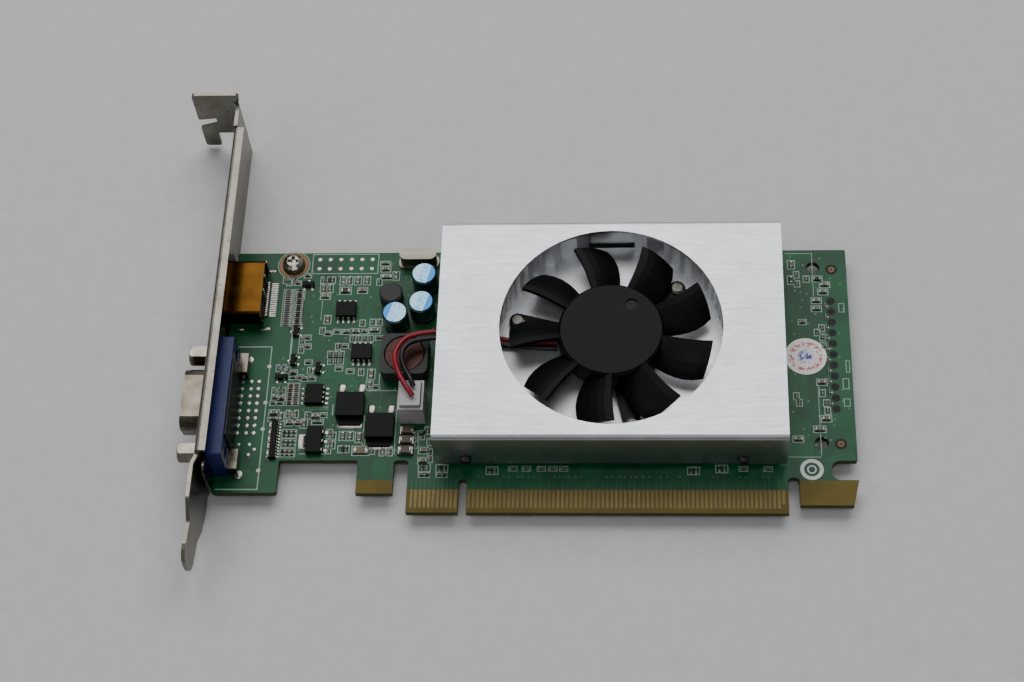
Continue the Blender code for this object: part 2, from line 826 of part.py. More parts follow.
def make_digital_port():
    shell = plate(
        "digital_port_shell",
        [port_outline(0.0), port_outline(PORT_WALL)],
        PORT_MOUTH,
        PORT_REAR,
        "yz",
    )
    paint(shell, GOLD, 0.25, 1.0)
    insulator = plate(
        "digital_port_insulator",
        [port_outline(PORT_WALL + SEAT_GAP)],
        PORT_REAR - 3.6,
        PORT_REAR - 0.3,
        "yz",
    )
    tongue = box(
        "digital_port_tongue",
        (PORT_MOUTH + 1.2, PORT_CENTRE - 5.9, 2.9),
        (PORT_REAR - 3.0, PORT_CENTRE + 5.9, 3.9),
        is_cutter=True,
    )
    return paint(join(insulator, tongue), BLACK, 0.45)


# Cover and heatsink


def make_cover():
    inner_bend = COVER_BEND - COVER_SHEET
    skirt, top, sheet = COVER_SKIRT, COVER_TOP, COVER_SHEET
    corners = [
        (COVER_FRONT, skirt),
        (COVER_FRONT + sheet, skirt),
        (COVER_FRONT + sheet, top - sheet, inner_bend),
        (COVER_BACK - sheet, top - sheet, inner_bend),
        (COVER_BACK - sheet, skirt),
        (COVER_BACK, skirt),
        (COVER_BACK, top, COVER_BEND),
        (COVER_FRONT, top, COVER_BEND),
    ]
    cover = plate("fan_cover", [rounded(corners)], COVER_LEFT, COVER_RIGHT, "yz")
    inlet = rod(
        "inlet_cutter", (*FAN_CENTRE, 8.0), 8.0, INLET_RADIUS, facets=FINE, is_cutter=True
    )
    cut(cover, inlet)
    for index, x in enumerate(COVER_SCREW_X):
        passage = rod(
            f"cover_screw_passage_{index}",
            (x, COVER_FRONT - 2.0, COVER_SCREW_Z),
            COVER_BACK - COVER_FRONT + 4.0,
            COVER_SCREW_SHANK + 0.25,
            "y",
            COARSE,
            is_cutter=True,
        )
        cut(cover, passage)
    return paint(cover, SILVER, 0.3, 1.0)


def make_cover_screws():
    """Four small screws through the cover's front and back skirts into the heatsink."""
    for index, x in enumerate(COVER_SCREW_X):
        side = ("left", "right")[index]
        front = (x, COVER_FRONT - SEAT_GAP, COVER_SCREW_Z)
        back = (x, COVER_BACK + SEAT_GAP, COVER_SCREW_Z)
        for name, seat, turn in (("front", front, math.pi), ("back", back, 0.0)):
            screw = pan_screw(
                f"cover_screw_{name}_{side}", (0, 0, 0), 1.3, 0.95, COVER_SCREW_SHANK, 4.0, "y",
                BLACK,
            )
            holder = add_empty(f"cover_screw_{name}_{side}_seat", seat, card_datum)
            holder.rotation_euler.z = turn
            screw.parent = holder
            for modifier in screw.modifiers:
                if modifier.type == "BOOLEAN":
                    modifier.object.parent = holder


def fin_comb():
    """The heatsink seen along X: its base with a row of fins, in Y and Z."""
    margin = (SINK_BACK - SINK_FRONT - (FINS - 1) * FIN_PITCH) / 2
    outline = [(SINK_BACK, SINK_FLOOR), (SINK_BACK, SINK_BOTTOM)]
    outline += [(SINK_FRONT, SINK_BOTTOM), (SINK_FRONT, SINK_FLOOR)]
    for fin in range(FINS):
        middle = SINK_FRONT + margin + fin * FIN_PITCH
        low, high = middle - FIN_THICKNESS / 2, middle + FIN_THICKNESS / 2
        outline += [(low, SINK_FLOOR), (low, SINK_TOP), (high, SINK_TOP), (high, SINK_FLOOR)]
    return outline


def make_heatsink():
    sink = plate("heatsink", [fin_comb()], SINK_LEFT, SINK_RIGHT, "yz")
    well = rod(
        "well_cutter", (*FAN_CENTRE, SINK_FLOOR), 12.0, WELL_RADIUS, facets=FINE, is_cutter=True
    )
    channel = box(
        "lead_channel_cutter",
        (SINK_LEFT - 2.0, LEAD_CHANNEL[0], SINK_FLOOR),
        (LEAD_CHANNEL_END, LEAD_CHANNEL[1], SINK_TOP + 2.0),
        is_cutter=True,
    )
    cut(sink, well, channel)
    for index, x in enumerate(COVER_SCREW_X):
        for name, start in (("front", SINK_FRONT - 1.0), ("back", SINK_BACK - 3.6)):
            hole = rod(
                f"sink_side_hole_{name}_{index}",
                (x, start, COVER_SCREW_Z),
                4.6,
                COVER_SCREW_SHANK + 0.1,
                "y",
                COARSE,
                is_cutter=True,
            )
            cut(sink, hole)
    for index, (x, y) in enumerate(SINK_SCREWS):
        hole = rod(
            f"sink_screw_hole_{index}",
            (x, y, SINK_BOTTOM - 1.0),
            2.9,
            SINK_SCREW_SHANK + 0.1,
            facets=COARSE,
            is_cutter=True,
        )
        cut(sink, hole)
    for index, (x, y) in enumerate(fan_screw_spots()):
        hole = rod(
            f"fan_screw_hole_{index}",
            (FAN_CENTRE[0] + x, FAN_CENTRE[1] + y, 3.0),
            4.0,
            1.0,
            facets=COARSE,
            is_cutter=True,
        )
        cut(sink, hole)
    return paint(sink, SILVER, 0.35, 1.0)


def make_heatsink_screws():
    """Four screws from the solder side that pull the heatsink onto the chip."""
    seat = -BOARD_THICKNESS - SEAT_GAP
    head = seat - BRACKET_LOW
    for index, (x, y) in enumerate(SINK_SCREWS):
        screw = turned(
            f"heatsink_screw_{index + 1}",
            [
                (0.0, 3.9),
                (SINK_SCREW_SHANK, 3.9),
                (SINK_SCREW_SHANK, seat),
                (SINK_SCREW_HEAD, seat),
                (SINK_SCREW_HEAD, seat - head * 0.75),
                (SINK_SCREW_HEAD - 0.5, BRACKET_LOW),
                (0.0, BRACKET_LOW),
            ],
            (x, y, 0.0),
            COARSE,
        )
        paint(screw, STEEL, 0.3, 1.0)


# Fan


def fan_screw_spots():
    """The three fan screws, in X and Y from the fan's centre."""
    arms = [(math.radians(angle), reach) for angle, reach in FAN_ARMS]
    return [(reach * math.cos(angle), reach * math.sin(angle)) for angle, reach in arms]


def make_fan_base():
    base = turned(
        "fan_base",
        [
            (1.75, 10.2),
            (2.4, 10.2),
            (2.4, FAN_BASE_TOP),
            (11.6, FAN_BASE_TOP),
            (11.6, FAN_BASE_BOTTOM),
            (0.0, FAN_BASE_BOTTOM),
            (0.0, FAN_BASE_TOP),
            (1.75, FAN_BASE_TOP),
            (1.75, 10.2),
        ],
        (0, 0, 0),
        MEDIUM,
        parent=fan_axis,
    )
    for index, (x, y) in enumerate(fan_screw_spots()):
        direction = Vector((x, y)).normalized()
        side = Vector((-direction.y, direction.x)) * 2.0
        start, end = direction * 9.0, Vector((x, y)) + direction * 1.9
        outline = [tuple(start - side), (*(end - side), 1.8)]
        outline += [(*(end + side), 1.8), tuple(start + side)]
        arm = plate(
            f"fan_arm_{index}",
            [rounded(outline)],
            FAN_BASE_BOTTOM + 0.05,
            FAN_BASE_TOP - 0.05,
            parent=fan_axis,
            is_cutter=True,
        )
        passage = rod(
            f"fan_arm_hole_{index}", (x, y, 4.0), 3.0, 1.1, facets=COARSE, parent=fan_axis,
            is_cutter=True,
        )
        join(base, arm)
        cut(base, passage)
    paint(base, BLACK, 0.5)

    for index, (x, y) in enumerate(fan_screw_spots()):
        screw = turned(
            f"fan_screw_{index + 1}",
            [
                (0.0, 6.5),
                (1.2, 6.5),
                (1.8, 6.3),
                (1.8, FAN_BASE_TOP + 0.05),
                (0.9, FAN_BASE_TOP + 0.05),
                (0.9, 3.1),
                (0.0, 3.1),
            ],
            (x, y, 0.0),
            COARSE,
            parent=fan_axis,
        )
        paint(screw, BLACK, 0.3, 1.0)


def ring(name, inner, outer, low, high, colour, roughness, metallic=0.0, facets=MEDIUM):
    """A plain ring around the fan's axis."""
    profile = [(inner, high), (outer, high), (outer, low), (inner, low), (inner, high)]
    piece = turned(name, profile, (0, 0, 0), facets, parent=fan_axis)
    return paint(piece, colour, roughness, metallic)


def make_motor():
    ring("fan_bearing", SHAFT_RADIUS + 0.06, 1.65, 6.2, 10.0, GOLD, 0.35, 1.0)
    ring("fan_driver_board", 2.7, 9.6, FAN_BASE_TOP + 0.1, FAN_BASE_TOP + 0.6, GREEN, 0.5)
    ring("fan_coil", 2.6, 8.3, 6.9, 9.9, BROWN, 0.4, 0.6)
    ring("fan_magnet", 9.0, HUB_RADIUS - HUB_WALL - SEAT_GAP, 7.1, 10.7, GREY, 0.6)
    shaft = rod(
        "fan_shaft", (0, 0, 6.3), HUB_TOP - HUB_WALL - SEAT_GAP - 6.3, SHAFT_RADIUS,
        parent=fan_axis,
    )
    paint(shaft, SILVER, 0.2, 1.0)


def blade_mesh(name):
    """One swept blade: its leading edge is high, and it dips and steepens to its trailing edge."""
    rings, strips = 6, 5
    root, tip = HUB_RADIUS - 0.5, BLADE_TIP_RADIUS
    bm = bmesh.new()
    grid = []
    for i in range(rings + 1):
        out = i / rings
        radius = root + (tip - root) * out
        leading = math.radians(32.2 - 1.2 * math.sin(math.pi * out))
        trailing = math.radians(3.0 + 10.0 * out**2.5)
        row = []
        for j in range(strips + 1):
            along = j / strips
            angle = leading + (trailing - leading) * along
            dip = 0.35 * along + 0.65 * along**2
            height = BLADE_TOP - (BLADE_TOP - BLADE_BOTTOM - BLADE_THICKNESS * 0.6) * dip
            place = (radius * math.cos(angle), radius * math.sin(angle), height)
            row.append(bm.verts.new(Vector(place) * MM))
        grid.append(row)
    for inner_row, outer_row in zip(grid, grid[1:]):
        for j in range(strips):
            bm.faces.new((inner_row[j], inner_row[j + 1], outer_row[j + 1], outer_row[j]))
    bmesh.ops.recalc_face_normals(bm, faces=bm.faces)
    mesh = bpy.data.meshes.new(name)
    bm.to_mesh(mesh)
    bm.free()
    return mesh


def make_rotor():
    inner = HUB_RADIUS - HUB_WALL
    ceiling = HUB_TOP - HUB_WALL
    rotor = turned(
        "fan_rotor",
        [
            (0.0, HUB_TOP),
            (HUB_RADIUS - 0.6, HUB_TOP),
            (HUB_RADIUS, HUB_TOP - 0.6),
            (HUB_RADIUS, HUB_BOTTOM),
            (inner, HUB_BOTTOM),
            (inner, ceiling),
            (0.0, ceiling),
        ],
        (0, 0, 0),
        48,
        parent=fan_axis,
    )
    shared = blade_mesh("fan_blade")
    for index in range(BLADES):
        turn = Matrix.Rotation(2 * math.pi * index / BLADES, 4, "Z")
        blade = add_object(
            f"fan_blade_{index}", shared, (0, 0, 0), parent=fan_axis, rotation=turn, is_cutter=True
        )
        thick = blade.modifiers.new("Thickness", "SOLIDIFY")
        thick.thickness = BLADE_THICKNESS * MM
        thick.offset = 0.0
        join(rotor, blade)
    mark = rod(
        "hub_mark", (4.6, 6.5, HUB_TOP - 0.4), 2.0, 1.5, facets=16, parent=fan_axis, is_cutter=True
    )
    cut(rotor, mark)
    return paint(rotor, BLACK, 0.5)


# Small parts


def make_chips():
    x, y = FAN_CENTRE
    package_top = 1.25
    package = block("graphics_package", (x, y), (*GRAPHICS_PACKAGE, package_top - 0.35), 0.35)
    paint(package, GREEN, 0.4)
    die = block("graphics_die", (x, y), (*GRAPHICS_DIE, 0.6), package_top + 0.05)
    paint(die, GREY, 0.1)
    pad = block("thermal_pad", (x, y), (14.0, 14.0, 0.25), 1.95)
    paint(pad, GREY, 0.8)
    for index, centre in enumerate(MEMORY_CENTRES):
        chip = block(f"memory_chip_{index + 1}", centre, MEMORY_SIZE, 0.3)
        paint(chip, BLACK, 0.5)
    for name, centre, size in DRIVER_CHIPS:
        paint(block(name, centre, size), BLACK, 0.5)
    paint(block("regulator", REGULATOR_CENTRE, REGULATOR_SIZE), BLACK, 0.5)
    for name, centre in TRANSISTORS:
        body = block(name, centre, TRANSISTOR_SIZE)
        width, length, thickness = TRANSISTOR_TAB
        edge = centre[1] - TRANSISTOR_SIZE[1] / 2
        tab = box(
            f"{name}_tab",
            (centre[0] - width / 2, edge - length, SEAT_GAP + 0.05),
            (centre[0] + width / 2, edge + 0.5, SEAT_GAP + thickness),
            is_cutter=True,
        )
        paint(join(body, tab), BLACK, 0.5)
    for index, centre in enumerate(CERAMIC_CAPACITORS):
        chip = block(f"ceramic_capacitor_{index + 1}", centre, CERAMIC_SIZE)
        paint(chip, BROWN, 0.4)


def make_cans():
    radius, height = POLYMER_RADIUS, POLYMER_HEIGHT
    profile = [
        (0.0, height),
        (radius - 0.35, height),
        (radius, height - 0.4),
        (radius, 1.9),
        (radius - 0.25, 1.6),
        (radius - 0.25, 1.3),
        (radius, 1.0),
        (radius, SEAT_GAP),
        (0.0, SEAT_GAP),
    ]
    for index, centre in enumerate(POLYMER_CAPACITORS):
        can = turned(f"polymer_capacitor_{index + 1}", profile, (*centre, 0.0), MEDIUM)
        paint(can, SILVER, 0.3, 1.0)

    radius, height = ROUND_INDUCTOR_RADIUS, ROUND_INDUCTOR_HEIGHT
    profile = [(0.0, height), (radius - 0.4, height), (radius, height - 0.4)]
    profile += [(radius, SEAT_GAP), (0.0, SEAT_GAP)]
    paint(turned("round_inductor", profile, (*ROUND_INDUCTOR, 0.0)), BLACK, 0.6)

    width, depth, height = SHIELDED_INDUCTOR_SIZE
    x, y = SHIELDED_INDUCTOR
    frame = [
        (x - width / 2, y - depth / 2, 1.6),
        (x + width / 2, y - depth / 2, 1.6),
        (x + width / 2, y + depth / 2, 1.6),
        (x - width / 2, y + depth / 2, 1.6),
    ]
    window = circle(SHIELDED_INDUCTOR, SHIELDED_CORE_RADIUS + FIT_GAP)
    paint(plate("inductor_frame", [rounded(frame), window], SEAT_GAP, height), GREY, 0.6)
    core = [(0.0, height - 0.2), (SHIELDED_CORE_RADIUS, height - 0.2)]
    core += [(SHIELDED_CORE_RADIUS, SEAT_GAP), (0.0, SEAT_GAP)]
    paint(turned("inductor_core", core, (x, y, 0.0)), BLACK, 0.6)

    width, depth, height = CRYSTAL_SIZE
    x, y = CRYSTAL_CENTRE
    end = depth / 2 - 0.02
    can = [
        (x - width / 2, y - depth / 2, end),
        (x + width / 2, y - depth / 2, end),
        (x + width / 2, y + depth / 2, end),
        (x - width / 2, y + depth / 2, end),
    ]
    crystal = plate("crystal_can", [rounded(can)], 0.4, height)
    rim = 0.4
    skirt = [
        (corner_x + math.copysign(rim, corner_x - x), corner_y + math.copysign(rim, corner_y - y), end)
        for corner_x, corner_y, end in can
    ]
    foot = plate("crystal_foot", [rounded(skirt)], SEAT_GAP, 0.6, is_cutter=True)
    paint(join(crystal, foot), SILVER, 0.25, 1.0)


def make_fan_connector():
    wall = 0.5
    header = box("fan_header", (*HEADER_LOW, SEAT_GAP), (*HEADER_HIGH, HEADER_TOP))
    pocket = box(
        "fan_header_pocket",
        (HEADER_LOW[0] + wall, HEADER_LOW[1] + wall, 1.2),
        (HEADER_HIGH[0] - wall, HEADER_HIGH[1] - wall, HEADER_TOP + 1.0),
        is_cutter=True,
    )
    paint(cut(header, pocket), WHITE, 0.45)
    inset = wall + 0.15
    plug = box(
        "fan_plug",
        (HEADER_LOW[0] + inset, HEADER_LOW[1] + inset, 1.4),
        (HEADER_HIGH[0] - inset, HEADER_HIGH[1] - inset, PLUG_TOP),
    )
    paint(plug, WHITE, 0.45)
    paint(lead("fan_lead_red", RED_ROUTE), (0.45, 0.02, 0.05), 0.4)
    paint(lead("fan_lead_black", BLACK_ROUTE), BLACK, 0.4)


make_board()
make_bracket()
pan_screw(
    "bracket_screw", (*BRACKET_SCREW, SEAT_GAP), 2.7, 1.9, BRACKET_SCREW_SHANK, 3.2, "z", STEEL
)
make_analogue_connector()
make_digital_port()
make_cover()
make_cover_screws()
make_heatsink()
make_heatsink_screws()
make_fan_base()
make_motor()
make_rotor()
make_chips()
make_cans()
make_fan_connector()
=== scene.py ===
"""Looks of the graphics card: finishes, small parts and prints of the board, floor, lights and camera."""

import math
import random

import bpy
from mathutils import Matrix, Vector


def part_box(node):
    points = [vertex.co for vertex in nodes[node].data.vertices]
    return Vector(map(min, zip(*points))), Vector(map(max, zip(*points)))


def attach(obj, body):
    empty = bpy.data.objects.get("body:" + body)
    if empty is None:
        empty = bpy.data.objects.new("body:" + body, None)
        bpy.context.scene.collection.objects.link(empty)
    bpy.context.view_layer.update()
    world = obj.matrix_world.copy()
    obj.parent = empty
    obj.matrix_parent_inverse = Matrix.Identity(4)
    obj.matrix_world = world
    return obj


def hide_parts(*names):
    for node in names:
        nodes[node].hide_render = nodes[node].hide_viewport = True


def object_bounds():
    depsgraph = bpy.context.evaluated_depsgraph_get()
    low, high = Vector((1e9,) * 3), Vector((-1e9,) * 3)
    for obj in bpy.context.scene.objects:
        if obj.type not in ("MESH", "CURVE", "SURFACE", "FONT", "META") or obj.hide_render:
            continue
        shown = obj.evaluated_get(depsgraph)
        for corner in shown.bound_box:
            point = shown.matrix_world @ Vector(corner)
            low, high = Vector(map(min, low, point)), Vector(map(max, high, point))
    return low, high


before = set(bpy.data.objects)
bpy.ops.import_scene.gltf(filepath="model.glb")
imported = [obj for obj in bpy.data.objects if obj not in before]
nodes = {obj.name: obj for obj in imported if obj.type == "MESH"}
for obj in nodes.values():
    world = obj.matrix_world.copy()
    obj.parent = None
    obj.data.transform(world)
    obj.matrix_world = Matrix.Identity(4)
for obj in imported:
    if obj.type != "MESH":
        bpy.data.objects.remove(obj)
cad_low, cad_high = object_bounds()
scene = bpy.context.scene
for name in ("Cube", "Light", "Camera"):
    if name in bpy.data.objects:
        bpy.data.objects.remove(bpy.data.objects[name])

MM = 0.001
board_low, board_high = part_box("circuit_board")
# The card's own frame, in millimetres: X runs along the contacts from the key notch, Y across the board
# from the contacts' ends, and Z up from the component face.
KEY_NOTCH = 57.2
ORIGIN = Vector((board_low.x + KEY_NOTCH * MM, board_low.y, board_high.z))
# Heights: the board's underside, what lies on the board begins at SKIN, and the tops of ink and copper lines
BACK = (board_low.z - board_high.z) / MM
SKIN = 0.002
INK_TOP = 0.028
COPPER_TOP = 0.014
# Laminate is bare up to CONTACTS_BACK on the tongue and MASK_STEP further beside it, but not left of LOBE_RIGHT
CONTACTS_BACK = 5.75
MASK_STEP = 2.3
TONGUE_LEFT = -13.2
TONGUE_RIGHT = 73.4
LOBE_RIGHT = -30.0
chance = random.Random(11)


def at(x, y, z=0.0):
    return ORIGIN + Vector((x, y, z)) * MM


def direction(turn):
    """The cosine and sine of an angle in degrees."""
    angle = math.radians(turn)
    return math.cos(angle), math.sin(angle)


def card_box(node):
    """The two corners of a CAD node in the card's own frame."""
    low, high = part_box(node)
    return (low - ORIGIN) / MM, (high - ORIGIN) / MM


# Camera
camera_data = bpy.data.cameras.new("photo_camera")
camera_data.lens = 70.54
camera_data.sensor_width = 36
camera_data.clip_start = 0.01
camera_data.clip_end = 20
camera = bpy.data.objects.new("photo_camera", camera_data)
camera.location = (0.032666, -0.235349, 0.407930)
camera.rotation_euler = [math.radians(angle) for angle in (30.2654, 3.5052, 1.8267)]
scene.collection.objects.link(camera)
scene.camera = camera

# Fan leads
LEAD_RADIUS = 0.6
RED_ROUTE = (
    (-11.4, 24.9, 8.65), (-12.75, 26.6, 9.5), (-14.75, 30.2, 9.3), (-16.1, 34.5, 8.3),
    (-16.1, 37.2, 7.8), (-14.4, 40.5, 7.3), (-11.6, 42.0, 7.1), (-7.2, 42.75, 6.9),
    (-2.0, 42.6, 6.4), (4.0, 41.9, 6.0), (10.0, 41.1, 5.7), (16.0, 40.6, 5.6),
    (20.9, 40.4, 5.6),
)
BLACK_ROUTE = (
    (-11.4, 27.4, 8.65), (-12.2, 29.2, 9.3), (-13.8, 32.4, 8.6), (-14.7, 35.7, 7.8),
    (-14.2, 38.4, 7.3), (-12.0, 40.2, 7.1), (-7.2, 41.1, 6.9), (-2.0, 41.0, 6.4),
    (4.0, 40.3, 6.0), (10.0, 39.6, 5.7), (16.0, 39.1, 5.6), (20.9, 38.9, 5.6),
)


def smooth_route(route, step):
    """Points about a step apart on a smooth curve through the route's own points."""
    ends = [Vector(place) for place in route]
    ends = [2 * ends[0] - ends[1], *ends, 2 * ends[-1] - ends[-2]]
    points = []
    for before, start, end, after in zip(ends, ends[1:], ends[2:], ends[3:]):
        pieces = max(1, round((end - start).length / step))
        for index in range(pieces):
            t = index / pieces
            points.append(
                0.5
                * (
                    2 * start
                    + (end - before) * t
                    + (2 * before - 5 * start + 4 * end - after) * t**2
                    + (3 * start - before - 3 * end + after) * t**3
                )
            )
    points.append(ends[-2])
    return points


def lead(name, route, node):
    """The insulated wire along a route, in place of its plain CAD solid."""
    points = [at(*place) for place in smooth_route(route, 1.1)]
    curve = bpy.data.curves.new(name, "CURVE")
    curve.dimensions = "3D"
    curve.bevel_depth = 1.0
    curve.bevel_resolution = 4
    curve.use_fill_caps = True
    spline = curve.splines.new("POLY")
    spline.points.add(len(points) - 1)
    for point, place in zip(spline.points, points):
        point.co = (*place, 1)
        point.radius = LEAD_RADIUS * MM
    spline.use_smooth = True
    obj = bpy.data.objects.new(name, curve)
    scene.collection.objects.link(obj)
    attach(obj, "card")
    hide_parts(node)
    return obj


red_lead = lead("fan_wire_red", RED_ROUTE, "fan_lead_red")
black_lead = lead("fan_wire_black", BLACK_ROUTE, "fan_lead_black")


# Materials
def tone(red, green, blue):
    """A display colour from 0 to 255, as the linear colour that a shader takes."""
    made = []
    for value in (red, green, blue):
        share = value / 255
        made.append(share / 12.92 if share <= 0.04045 else ((share + 0.055) / 1.055) ** 2.4)
    return (*made, 1.0)


def feed(tree, socket, value):
    """Give a socket its value, or a link where the value is another node's output."""
    if isinstance(value, bpy.types.NodeSocket):
        tree.links.new(value, socket)
    else:
        socket.default_value = value


def add(tree, kind, settings=None, **inputs):
    made = tree.nodes.new(kind)
    for name, value in (settings or {}).items():
        setattr(made, name, value)
    for name, value in inputs.items():
        feed(tree, made.inputs[name.replace("_", " ")], value)
    return made


def math_node(tree, operation, *values):
    made = tree.nodes.new("ShaderNodeMath")
    made.operation = operation
    for socket, value in zip(made.inputs, values):
        feed(tree, socket, value)
    return made.outputs[0]


def ramp(tree, factor, *stops):
    made = tree.nodes.new("ShaderNodeValToRGB")
    tree.links.new(factor, made.inputs["Fac"])
    elements = made.color_ramp.elements
    while len(elements) < len(stops):
        elements.new(0.5)
    for element, (place, colour) in zip(elements, stops):
        element.position = place
        element.color = colour
    return made.outputs["Color"]


def blend(tree, factor, first, second):
    made = tree.nodes.new("ShaderNodeMix")
    made.data_type = "RGBA"
    for place, value in ((0, factor), (6, first), (7, second)):
        feed(tree, made.inputs[place], value)
    return made.outputs[2]


def place_node(tree, stretch=(1, 1, 1)):
    where = tree.nodes.new("ShaderNodeTexCoord")
    return add(
        tree, "ShaderNodeMapping", Vector=where.outputs["Object"], Scale=stretch
    ).outputs["Vector"]


def noise(tree, place, cell, detail=3.0, roughness=0.55):
    """Noise whose features are about a cell wide, in millimetres."""
    return add(
        tree, "ShaderNodeTexNoise", Vector=place, Scale=1 / (cell * MM), Detail=detail,
        Roughness=roughness,
    ).outputs["Fac"]


def span(tree, value, low, high, start=0.3, end=0.7):
    return add(
        tree, "ShaderNodeMapRange", Value=value, From_Min=start, From_Max=end, To_Min=low,
        To_Max=high,
    ).outputs["Result"]


def new_material(name):
    """A node material with its tree and its shader."""
    made = bpy.data.materials.new(name)
    made.use_nodes = True
    return made, made.node_tree, made.node_tree.nodes["Principled BSDF"]


def emboss(tree, shader, strength, relief, height):
    """Fine relief on a shader. Relief is micrometres for a height of one."""
    bump = add(tree, "ShaderNodeBump", Strength=strength, Distance=relief * 1e-6, Height=height)
    tree.links.new(bump.outputs["Normal"], shader.inputs["Normal"])


def product(tree, first, *others):
    for other in others:
        first = math_node(tree, "MULTIPLY", first, other)
    return first


def about(tree, x, y):
    """A point's place and height, its way east and north of (x, y) on the card, and its square distance."""
    place = tree.nodes.new("ShaderNodeTexCoord").outputs["Object"]
    parts = add(tree, "ShaderNodeSeparateXYZ", Vector=place)
    middle = at(x, y)
    east = math_node(tree, "SUBTRACT", parts.outputs["X"], middle.x)
    north = math_node(tree, "SUBTRACT", parts.outputs["Y"], middle.y)
    square = math_node(tree, "ADD", product(tree, east, east), product(tree, north, north))
    return place, parts.outputs["Z"], east, north, square


def finish(
    name, light, dark, rough, metallic=0.0, cell=3.0, grain=0.25, relief=4.0,
    stretch=(1, 1, 1), coat=0.0, fleck=None, turned=0.0, specular=0.25,
):
    """A finish with clouded colour, uneven gloss and fine relief.

    Cell and grain are millimetres, relief is micrometres.
    """
    made, tree, shader = new_material(name)
    place = place_node(tree, stretch)
    clouds = noise(tree, place, cell, 4.0)
    fine = noise(tree, place, grain, 2.0)
    colour = ramp(tree, clouds, (0.3, dark), (0.7, light))
    if fleck:
        spots = add(
            tree, "ShaderNodeTexNoise", Vector=place, Scale=1 / (grain * 1.7 * MM), Detail=1.0
        ).outputs["Fac"]
        colour = blend(tree, span(tree, spots, 0.0, 1.0, 0.62, 0.72), colour, fleck)
    tree.links.new(colour, shader.inputs["Base Color"])
    uneven = math_node(tree, "MULTIPLY_ADD", clouds, 0.4, product(tree, fine, 0.6))
    tree.links.new(span(tree, uneven, rough[0], rough[1], 0.35, 0.65), shader.inputs["Roughness"])
    shader.inputs["Metallic"].default_value = metallic
    shader.inputs["Specular IOR Level"].default_value = max(specular, 0.5 * metallic)
    if coat:
        shader.inputs["Coat Weight"].default_value = coat
        shader.inputs["Coat Roughness"].default_value = 0.12
    if turned:
        shader.inputs["Anisotropic"].default_value = turned
    emboss(tree, shader, 0.6, relief, fine)
    return made


def board_finish():
    """Green solder mask over copper areas, with bare laminate along the contacts and on the cut edges."""
    made, tree, shader = new_material("solder_mask")
    where = tree.nodes.new("ShaderNodeTexCoord")
    place = where.outputs["Object"]
    parts = add(tree, "ShaderNodeSeparateXYZ", Vector=place)
    facing = add(tree, "ShaderNodeSeparateXYZ", Vector=where.outputs["Normal"])
    across = parts.outputs["X"]
    tongue = at(0, CONTACTS_BACK).y
    left_of_tongue = math_node(tree, "LESS_THAN", across, at(TONGUE_LEFT, 0).x)
    right_of_tongue = math_node(tree, "GREATER_THAN", across, at(TONGUE_RIGHT, 0).x)
    far_left = math_node(tree, "LESS_THAN", across, at(LOBE_RIGHT, 0).x)
    edge = math_node(tree, "MULTIPLY_ADD", left_of_tongue, MASK_STEP * MM, tongue)
    edge = math_node(tree, "MULTIPLY_ADD", right_of_tongue, MASK_STEP * MM, edge)
    edge = math_node(tree, "MULTIPLY_ADD", far_left, -50 * MM, edge)
    above = math_node(tree, "GREATER_THAN", parts.outputs["Y"], edge)
    flat = math_node(tree, "GREATER_THAN", math_node(tree, "ABSOLUTE", facing.outputs["Z"]), 0.5)
    masked = product(tree, above, flat)
    clouds = noise(tree, place, 9.0, 2.0)
    weave = add(
        tree, "ShaderNodeTexVoronoi", {"distance": "CHEBYCHEV"}, Vector=place, Scale=190.0,
        Randomness=0.9,
    )
    pours = math_node(tree, "GREATER_THAN", weave.outputs["Color"], 0.55)
    fine = noise(tree, place, 0.35, 2.0)
    green = ramp(tree, clouds, (0.35, tone(5, 60, 33)), (0.65, tone(8, 78, 44)))
    green = blend(tree, product(tree, pours, 0.45), green, tone(6, 48, 32))
    green = blend(tree, span(tree, fine, 0.0, 0.2), green, tone(20, 94, 56))
    bare = ramp(tree, clouds, (0.35, tone(84, 74, 30)), (0.65, tone(98, 86, 36)))
    cut = ramp(tree, fine, (0.3, tone(30, 44, 22)), (0.7, tone(74, 74, 36)))
    bare = blend(tree, flat, cut, bare)
    tree.links.new(blend(tree, masked, bare, green), shader.inputs["Base Color"])
    gloss = math_node(tree, "MULTIPLY_ADD", masked, -0.28, span(tree, fine, 0.58, 0.7))
    tree.links.new(gloss, shader.inputs["Roughness"])
    shader.inputs["Specular IOR Level"].default_value = 0.2
    height = math_node(tree, "MULTIPLY_ADD", pours, 0.5, product(tree, fine, 0.3))
    emboss(tree, shader, 0.5, 12, height)
    return made


